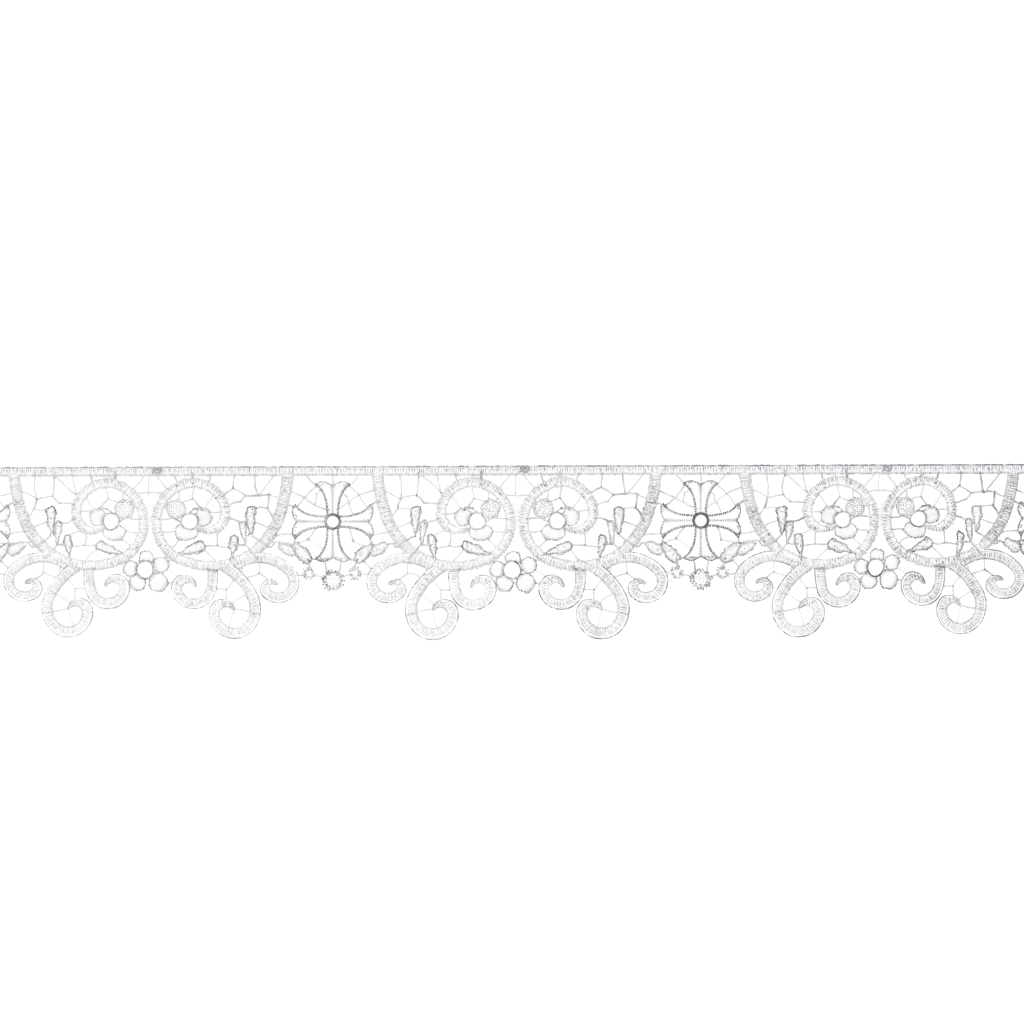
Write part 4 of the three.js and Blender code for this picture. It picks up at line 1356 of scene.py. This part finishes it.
def flower_threads(flower, seeded, rims, ring_tone, hatch):
    """Rims lists how deep the painted shade on the rim of each petal is; the first petals, seeded of them,
    hold seeds.
    """
    whites, darks = [], []
    for number, (spot, tone) in enumerate(zip(flower.petals, rims)):
        if number < seeded:
            whites.append(seed_stitches(spot, SEEDS_IN_PETAL, clear_of=flower.eyelet))
        else:
            whites.append(petal_satin(spot, flower, hatch))
        for run in rim_runs(spot, flower):
            run = roughened(run, RIM_ROUGH)
            darks.append(beaded(run, RIM_BEAD, RIM_HEIGHT, tone, RIM_PITCH, RIM_LEAST, UNDER_RIM * tone))
            for end in (run[0], run[-1]):
                darks.append(whipped_knot(end, RIM_KNOT_HEIGHT, chance.uniform(*RIM_KNOTS),
                                          RIM_KNOT_TONE * tone))
    ring = (flower.inner + flower.eyelet.radius) / 2 + EYELET_OUT
    darks.append(wound_ring(centre(flower.eyelet), ring, EYELET_GIRTH, EYELET_HEIGHT, ring_tone,
                            EYELET_WINDS, uneven=EYELET_UNEVEN))
    return together(whites), together(darks)


flowers = [placed(flower_threads(flower, *worked), axis, mirrored)
           for axis in scallop_axes for flower, mirrored, *worked in WORKED_FLOWERS]
petals_satin, petals_rims = pair_of_pieces("petals_satin", "petals_rims", flowers)

# %% [markdown]
# ## Leaves
# A leaf is worked across its length in satin, lightly hatched with dabs of painted shade, with a rough
# outline darkened with painted shade that is heaviest round its blunt head. No two leaves come out alike,
# so every one is worked anew.

# %% Leaf satin, hatching and outlines
LEAF_LOW, LEAF_CROWN, LEAF_SWELL, LEAF_SLOPE = 0.6, 0.2, 0.1, 0.4
LEAF_TONE, LEAF_NARROWEST = 0.05, 0.15
LEAF_ROWS = (0.06, 0.95)
HATCH_RADIUS, HATCH_GROUPS, HATCH_HEIGHT = 0.2, (2, 2, 3), 0.85
HATCH_ASIDE, HATCH_LENGTHS, HATCH_TONES = 0.7, (1, 2.4), (0.15, 0.75)
OUTLINE_INSET, OUTLINE_ROUGH, OUTLINE_HEIGHT = RIM_BEAD * 0.7, 0.42, 0.98
OUTLINE_TONE, OUTLINE_LEAST, UNDER_OUTLINE = 1.3, 0.1, 0.35
OUTLINE_SHARES = np.concatenate([np.linspace(0, 0.15, 8), np.linspace(0.18, 1, 24)])
HEAD_SHARE, HEAD_BEAD, HEAD_HEIGHT = 0.3, RIM_BEAD * 1.2, 1.1
HEAD_LEAST, UNDER_HEAD = 0.2, 0.4


def half_width(leaf, share):
    return leaf.width / 2 * np.interp(share, LEAF_ALONG, leaf.fullness)


def leaf_outline(leaf):
    head, along, left, length = leaf_axis(leaf)
    width = half_width(leaf, OUTLINE_SHARES) - OUTLINE_INSET
    spine = head + along * length * OUTLINE_SHARES[:, None]
    rim = np.concatenate([(spine + left * width[:, None])[::-1], spine - left * width[:, None]])
    rim = roughened(rim, OUTLINE_ROUGH)
    from_head = np.linalg.norm(rim - head, axis=1) / length
    heaviest = evenly(rim[from_head < HEAD_SHARE], ROUGH_STEP)
    tone = OUTLINE_TONE * leaf.weight
    return together([
        beaded(rim, RIM_BEAD, OUTLINE_HEIGHT, tone, least=OUTLINE_LEAST, under=UNDER_OUTLINE * leaf.weight),
        beaded(heaviest, HEAD_BEAD, HEAD_HEIGHT, tone, least=HEAD_LEAST, under=UNDER_HEAD * leaf.weight)])


def leaf_threads(leaf):
    head, along, left, length = leaf_axis(leaf)
    rows = np.arange(*LEAF_ROWS, SATIN_PITCH / length)
    reach = np.maximum(LEAF_NARROWEST, half_width(leaf, rows) - RIM_BEAD)
    spots = head + along * length * rows[:, None]
    slope = along * LEAF_SLOPE
    crown = LEAF_CROWN + LEAF_SWELL * reach
    white = satin(spots + left * reach[:, None] + slope, spots - left * reach[:, None] - slope,
                  LEAF_LOW, crown, chance.uniform(0, LEAF_TONE, len(rows)))
    at = between_groups(len(rows), HATCH_GROUPS)
    aside = chance.uniform(-HATCH_ASIDE, HATCH_ASIDE, len(at))
    lean = np.full(len(at), math.atan2(left[1], left[0]))
    hatch = short_stitches(spots[at] + left * (aside * reach[at])[:, None], lean,
                           chance.uniform(*HATCH_LENGTHS, len(at)), HATCH_RADIUS,
                           HATCH_HEIGHT + crown[at] * (1 - aside ** 2),
                           chance.uniform(*HATCH_TONES, len(at)))
    return together([white, hatch]), leaf_outline(leaf)


leaves = [placed(leaf_threads(leaf), axis, mirrored)
          for drafted, axes in ((LEAVES, scallop_axes), (CROSS_LEAVES, cross_axes))
          for leaf in drafted for axis in axes for mirrored in (False, True)]
leaves_satin, leaves_rims = pair_of_pieces("leaves_satin", "leaves_rims", leaves)

# %% [markdown]
# ## Rosettes, collar and header knots
# A rosette is a white dotted button inside rings of short picot stitches darkened with painted shade. The
# collar between the large rings is bridged by stitches that lie along the edging, a few of them with
# deeper painted shade. A little tangle of thread, where the machine fastened off, sits on the header above
# every scallop, also with painted shade.

# %% Rosettes ringed with picot stitches
PICOT_RADIUS, PICOT_HEIGHT, PICOT_LENGTHS, PICOT_TONES = 0.4, 0.95, (0.6, 1), (0.1, 1.4)
PICOT_TURN, PICOT_OUT, PICOT_LEAN = 0.3, 0.3, 0.6
BUTTON_SHARE, BUTTON_SEEDS, BUTTON_TONE = 0.9, 1.6, 0.25
PICOT_RINGS = [(1.1, 1.2, 1), (0.2, 1.8, 0.8)]
LARGE_ROSETTE, LARGE_RING = 5, (2.1, 1.7, 0.7)
ROSETTE_TONE, ROSETTE_TONE_STEP = 0.6, 0.08


def picots(spot, radius, pitch, tone):
    """Short stitches standing round a ring, some along it and some across it."""
    count = round(2 * math.pi * radius / pitch)
    turn = 2 * math.pi * (np.arange(count) + chance.uniform(-PICOT_TURN, PICOT_TURN, count)) / count
    distance = radius + chance.normal(0, PICOT_OUT, count)
    middle = centre(spot) + distance[:, None] * np.stack([np.cos(turn), np.sin(turn)], 1)
    lean = turn + math.pi / 2 + chance.normal(0, PICOT_LEAN, count)
    tones = tone * chance.uniform(*PICOT_TONES, count)
    length = chance.uniform(*PICOT_LENGTHS, count)
    return short_stitches(middle, lean, length, PICOT_RADIUS, PICOT_HEIGHT, tones)


def rosette_threads(spot):
    """Each row of picots lies inside the rim, with its own pitch and share of the tone."""
    rim = spot.radius
    button = spot._replace(radius=rim * BUTTON_SHARE)
    white = seed_stitches(button, round(BUTTON_SEEDS * rim ** 2), tone=BUTTON_TONE)
    tone = ROSETTE_TONE + ROSETTE_TONE_STEP * rim
    rings = PICOT_RINGS + ([LARGE_RING] if rim > LARGE_ROSETTE else [])
    dark = [picots(spot, rim - inside, pitch, share * tone) for inside, pitch, share in rings]
    return white, together(dark)


rosettes = [placed(rosette_threads(spot), axis) for axis in cross_axes for spot in ROSETTES]
rosettes_seeds, rosettes_picots = pair_of_pieces("rosettes_seeds", "rosettes_picots", rosettes)

# %% Collar stitches
COLLAR_PITCH, COLLAR_START, COLLAR_OVERLAP = 1.1, 0.4, 0.6
COLLAR_LOW, COLLAR_CROWN, COLLAR_TONE = 0.75, 0.1, 0.06
DARKER_ROWS = [(21.4, 0.12), (22.9, 0.2), (24.6, 0.15), (26.1, 0.3), (27.6, 0.12), (29, 0.2)]
rows = np.arange(COLLAR_TOP + COLLAR_START, COLLAR_BOTTOM, COLLAR_PITCH)
reach = np.full(len(rows), COLLAR_WIDTH / 2 + COLLAR_OVERLAP)
collar_tone = chance.uniform(0, COLLAR_TONE, len(rows))
for down, tone in DARKER_ROWS:
    collar_tone[np.argmin(np.abs(rows - down))] = tone
collar_satin = satin(np.stack([-reach, -rows], 1), np.stack([reach, -rows], 1), COLLAR_LOW, COLLAR_CROWN,
                     collar_tone)
collars = thread_piece("collars", together([shifted(collar_satin, axis) for axis in scallop_axes]))

# %% Tangled knots on the header
TANGLE_ACROSS, TANGLE_DOWN, TANGLE_LENGTH, TANGLE_WIDTH = 3.9, 2, 5.2, 3.2
TANGLE_HEIGHT, TANGLE_LOOPS = 1.7, 0.6
TANGLE_RADIUS, TANGLE_TONE = 0.3, 0.75
swing = np.linspace(0, 2 * math.pi, 120)
tangle = np.stack([TANGLE_ACROSS + TANGLE_LENGTH / 2 * np.sin(3 * swing) * (0.8 + 0.2 * np.cos(swing)),
                   -TANGLE_DOWN + TANGLE_WIDTH / 2 * np.sin(4 * swing + 0.6)], 1)
knot = one_thread(tangle, TANGLE_HEIGHT + TANGLE_LOOPS * np.cos(7 * swing), TANGLE_RADIUS, TANGLE_TONE,
                  sides=6, ply=0.2, pitch=1.0)
header_knots = thread_piece("header_knots", together([shifted(knot, axis) for axis in scallop_axes]))

# %% [markdown]
# ## Thread, seen close
# All of the lace is one white thread, and what shows of it is light and shade, painted into its colour:
# bright on the crest of a stitch, a painted lilac grey shade where threads press together, and a deeper
# painted shade by the tone of each stitch. A node group shared by every finish reads the crest height and
# tone kept in the meshes, adds soft variation over the cloth, and draws the twist of the plies as a fine
# bump along each thread.

# %% The shared thread group


def add_node(tree, kind, constants=None, **settings):
    """A node with its settings made, and with constants on the sockets that are named."""
    node = tree.nodes.new(kind)
    for setting, value in settings.items():
        setattr(node, setting, value)
    for socket, value in (constants or {}).items():
        node.inputs[socket].default_value = value
    return node


def thread_group():
    group = bpy.data.node_groups.new("thread_shading", "ShaderNodeTree")
    for name, kind, value in (("Crest", "NodeSocketColor", (0.9, 0.9, 0.9, 1)),
                              ("Crevice shade", "NodeSocketColor", (0.4, 0.4, 0.4, 1)),
                              ("Painted shade", "NodeSocketColor", (0.3, 0.3, 0.3, 1)),
                              ("Twist", "NodeSocketFloat", 1.5)):
        group.interface.new_socket(name, in_out="INPUT", socket_type=kind).default_value = value
    for name, kind in (("Color", "NodeSocketColor"), ("Roughness", "NodeSocketFloat"),
                       ("Height", "NodeSocketFloat")):
        group.interface.new_socket(name, in_out="OUTPUT", socket_type=kind)
    link = group.links.new
    inputs = add_node(group, "NodeGroupInput")
    outputs = add_node(group, "NodeGroupOutput")

    # Painted shade: the flanks and underside of each thread take the crevice colour, by their height on it.
    lift = add_node(group, "ShaderNodeAttribute", attribute_name="lift")
    crest = add_node(group, "ShaderNodeMapRange", {"From Max": 0.75}, interpolation_type="SMOOTHSTEP")
    crest_and_shade = add_node(group, "ShaderNodeMix", data_type="RGBA")
    link(lift.outputs["Fac"], crest.inputs["Value"])
    link(crest.outputs["Result"], crest_and_shade.inputs["Factor"])
    link(inputs.outputs["Crevice shade"], crest_and_shade.inputs["A"])
    link(inputs.outputs["Crest"], crest_and_shade.inputs["B"])

    # Painted shade: each stitch's tone, varied softly over the cloth, draws its colour toward a dark shade.
    tone = add_node(group, "ShaderNodeAttribute", attribute_name="tone")
    place = add_node(group, "ShaderNodeTexCoord")
    cloudy = add_node(group, "ShaderNodeTexNoise", {"Scale": 90, "Detail": 3})
    spread = add_node(group, "ShaderNodeMapRange", {"From Min": 0.3, "From Max": 0.7,
                                                    "To Min": 0.55, "To Max": 1.25})
    painted_shade_share = add_node(group, "ShaderNodeMath", operation="MULTIPLY", use_clamp=True)
    painted_shade = add_node(group, "ShaderNodeMix", data_type="RGBA")
    link(place.outputs["Object"], cloudy.inputs["Vector"])
    link(cloudy.outputs["Fac"], spread.inputs["Value"])
    link(tone.outputs["Fac"], painted_shade_share.inputs[0])
    link(spread.outputs["Result"], painted_shade_share.inputs[1])
    link(painted_shade_share.outputs["Value"], painted_shade.inputs["Factor"])
    link(crest_and_shade.outputs["Result"], painted_shade.inputs["A"])
    link(inputs.outputs["Painted shade"], painted_shade.inputs["B"])
    link(painted_shade.outputs["Result"], outputs.inputs["Color"])

    along = add_node(group, "ShaderNodeUVMap", uv_map="along")
    split = add_node(group, "ShaderNodeSeparateXYZ")
    run = add_node(group, "ShaderNodeMath", operation="MULTIPLY_ADD")
    turns = add_node(group, "ShaderNodeMath", {1: 4 * math.pi}, operation="MULTIPLY")
    plies = add_node(group, "ShaderNodeMath", operation="SINE")
    link(along.outputs["UV"], split.inputs["Vector"])
    link(split.outputs["X"], run.inputs[0])
    link(inputs.outputs["Twist"], run.inputs[1])
    link(split.outputs["Y"], run.inputs[2])
    link(run.outputs["Value"], turns.inputs[0])
    link(turns.outputs["Value"], plies.inputs[0])
    link(plies.outputs["Value"], outputs.inputs["Height"])

    rough = add_node(group, "ShaderNodeMapRange", {"To Min": 0.82, "To Max": 0.62})
    link(crest.outputs["Result"], rough.inputs["Value"])
    link(rough.outputs["Result"], outputs.inputs["Roughness"])
    return group


shared_threads = thread_group()
print("group", shared_threads.name, "with", len(shared_threads.nodes), "nodes")

# %% [markdown]
# ## Finishes
# Satin is the brightest: its threads lie flat and side by side. The rest are the same white thread with its
# shade painted in: contours softly grey, bars greyer, and the beads that outline petals, leaves and crosses
# the darkest. Each finish gives the group its own colours of crest and painted shade, and its twist.

# %% Materials for satin, beads, contours and bars
TWIST_DEPTH = 0.05


def plain_material(name):
    material = bpy.data.materials.new(name)
    material.use_nodes = True
    return material, material.node_tree, material.node_tree.nodes["Principled BSDF"]


def thread_finish(name, crest, crevice_shade, painted_shade, twist, relief):
    material, tree, shader = plain_material(name)
    shader.inputs["Sheen Weight"].default_value = 0.2
    shader.inputs["Sheen Roughness"].default_value = 0.5
    shader.inputs["Specular IOR Level"].default_value = 0.25
    group = add_node(tree, "ShaderNodeGroup", {"Crest": (*crest, 1), "Crevice shade": (*crevice_shade, 1),
                                               "Painted shade": (*painted_shade, 1), "Twist": twist},
                     node_tree=shared_threads)
    bump = add_node(tree, "ShaderNodeBump", {"Strength": relief, "Distance": TWIST_DEPTH * MM})
    tree.links.new(group.outputs["Color"], shader.inputs["Base Color"])
    tree.links.new(group.outputs["Roughness"], shader.inputs["Roughness"])
    tree.links.new(group.outputs["Height"], bump.inputs["Height"])
    tree.links.new(bump.outputs["Normal"], shader.inputs["Normal"])
    material.diffuse_color = (*crest, 1)
    return material


# Each finish: a crest colour, a painted crevice shade and a deep painted shade.
satin_finish = thread_finish("satin_thread", crest=(0.945, 0.93, 0.95), crevice_shade=(0.885, 0.868, 0.892),
                             painted_shade=(0.24, 0.225, 0.25), twist=1.4, relief=0.5)
bead_finish = thread_finish("bead_thread", crest=(0.84, 0.825, 0.85), crevice_shade=(0.5, 0.48, 0.51),
                            painted_shade=(0.1, 0.09, 0.105), twist=1.1, relief=0.6)
contour_finish = thread_finish("contour_thread", crest=(0.88, 0.865, 0.89), crevice_shade=(0.72, 0.7, 0.73),
                               painted_shade=(0.18, 0.165, 0.19), twist=1.1, relief=0.6)
bar_finish = thread_finish("bar_thread", crest=(0.8, 0.785, 0.81), crevice_shade=(0.42, 0.4, 0.43),
                           painted_shade=(0.24, 0.225, 0.25), twist=1.3, relief=0.6)
print("finishes", [finish.name for finish in (satin_finish, bead_finish, contour_finish, bar_finish)])

# %% The ground's own finish
FIBRE_DEPTH = 0.08


def ground_finish():
    material, tree, shader = plain_material("padding_thread")
    shader.inputs["Sheen Weight"].default_value = 0.15
    shader.inputs["Specular IOR Level"].default_value = 0.2
    place = add_node(tree, "ShaderNodeTexCoord")
    fibres = add_node(tree, "ShaderNodeTexNoise", {"Scale": 1800, "Detail": 4})
    colour = add_node(tree, "ShaderNodeMix", {"A": (0.9, 0.885, 0.905, 1), "B": (0.95, 0.935, 0.955, 1)},
                      data_type="RGBA")
    rough = add_node(tree, "ShaderNodeMapRange", {"To Min": 0.7, "To Max": 0.9})
    bump = add_node(tree, "ShaderNodeBump", {"Strength": 0.5, "Distance": FIBRE_DEPTH * MM})
    tree.links.new(place.outputs["Object"], fibres.inputs["Vector"])
    for node, socket in ((colour, "Factor"), (rough, "Value"), (bump, "Height")):
        tree.links.new(fibres.outputs["Fac"], node.inputs[socket])
    tree.links.new(colour.outputs["Result"], shader.inputs["Base Color"])
    tree.links.new(rough.outputs["Result"], shader.inputs["Roughness"])
    tree.links.new(bump.outputs["Normal"], shader.inputs["Normal"])
    return material


finishes = {cloth: ground_finish(), bars: bar_finish, contours: contour_finish,
            header_contours: contour_finish}
finishes.update({piece: satin_finish for piece in (
    satin_bowls, satin_scrolls, rungs, strays, dashes, satin_header, header_dabs, rolls, crosses_satin,
    petals_satin, leaves_satin, rosettes_seeds, collars)})
finishes.update({piece: bead_finish for piece in (
    crosses_beads, petals_rims, leaves_rims, rosettes_picots, header_knots)})
for piece, finish in finishes.items():
    piece.data.materials.clear()
    piece.data.materials.append(finish)
print(len(finishes), "pieces finished")

# %% [markdown]
# ## Floor, light and camera
# The lace lies on a white table and is seen straight from above. A broad light over the camera lights
# crests fully and the flanks of the threads less, which draws every cord. A long lens keeps the view
# free of perspective.

# %% Table, studio light and camera
VIEW_WIDTH = 531.6
VIEW_ACROSS, VIEW_Y = -1.1, 20.8
VIEW_ROLL = 0.17
LENS, SENSOR = 200, 36
TABLE_SIZE, TABLE_TOP = 8, -0.0003
LAMP_PLACE, LAMP_TILT = (-0.3, 0.4, 4.6), (-0.087, -0.065, 0)
LAMP_SIZE, LAMP_POWER = 1.6, 192
SKY_STRENGTH = 0.45

deselect()
bpy.ops.mesh.primitive_plane_add(size=TABLE_SIZE, location=(0, 0, TABLE_TOP))
table = bpy.context.object
table.name = "table"
paper, _, paper_shader = plain_material("white_table")
paper_shader.inputs["Base Color"].default_value = (0.93, 0.93, 0.93, 1)
paper_shader.inputs["Roughness"].default_value = 0.9
paper_shader.inputs["Specular IOR Level"].default_value = 0.1
table.data.materials.append(paper)

bpy.ops.object.light_add(type="AREA", location=LAMP_PLACE, rotation=LAMP_TILT)
lamp = bpy.context.object
lamp.data.shape = "DISK"
lamp.data.size = LAMP_SIZE
lamp.data.energy = LAMP_POWER

sky = bpy.data.worlds.new("studio")
sky.use_nodes = True
background = sky.node_tree.nodes["Background"]
background.inputs["Color"].default_value = (1, 1, 1, 1)
background.inputs["Strength"].default_value = SKY_STRENGTH
bpy.context.scene.world = sky
bpy.context.scene.view_settings.view_transform = "Standard"

camera_height = VIEW_WIDTH / 2 * MM / (SENSOR / 2 / LENS)
bpy.ops.object.camera_add(location=(VIEW_ACROSS * MM, VIEW_Y * MM, camera_height),
                          rotation=(0, 0, -math.radians(VIEW_ROLL)))
camera = bpy.context.object
camera.data.lens = LENS
camera.data.sensor_width = SENSOR
bpy.context.scene.camera = camera
print("camera", round(camera_height, 3), "m above the table")

# %% [markdown]
# ## Ride and measure
# Every piece rides on the one body and stands for the imported solid, which is hidden.

# %% Ride and measure
for piece in finishes:
    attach(piece, "root")
    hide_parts("lace_edging")

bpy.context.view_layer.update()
total = sum(len(p.vertices) - 2 for piece in finishes for p in piece.data.polygons)
print("triangles in all:", total)
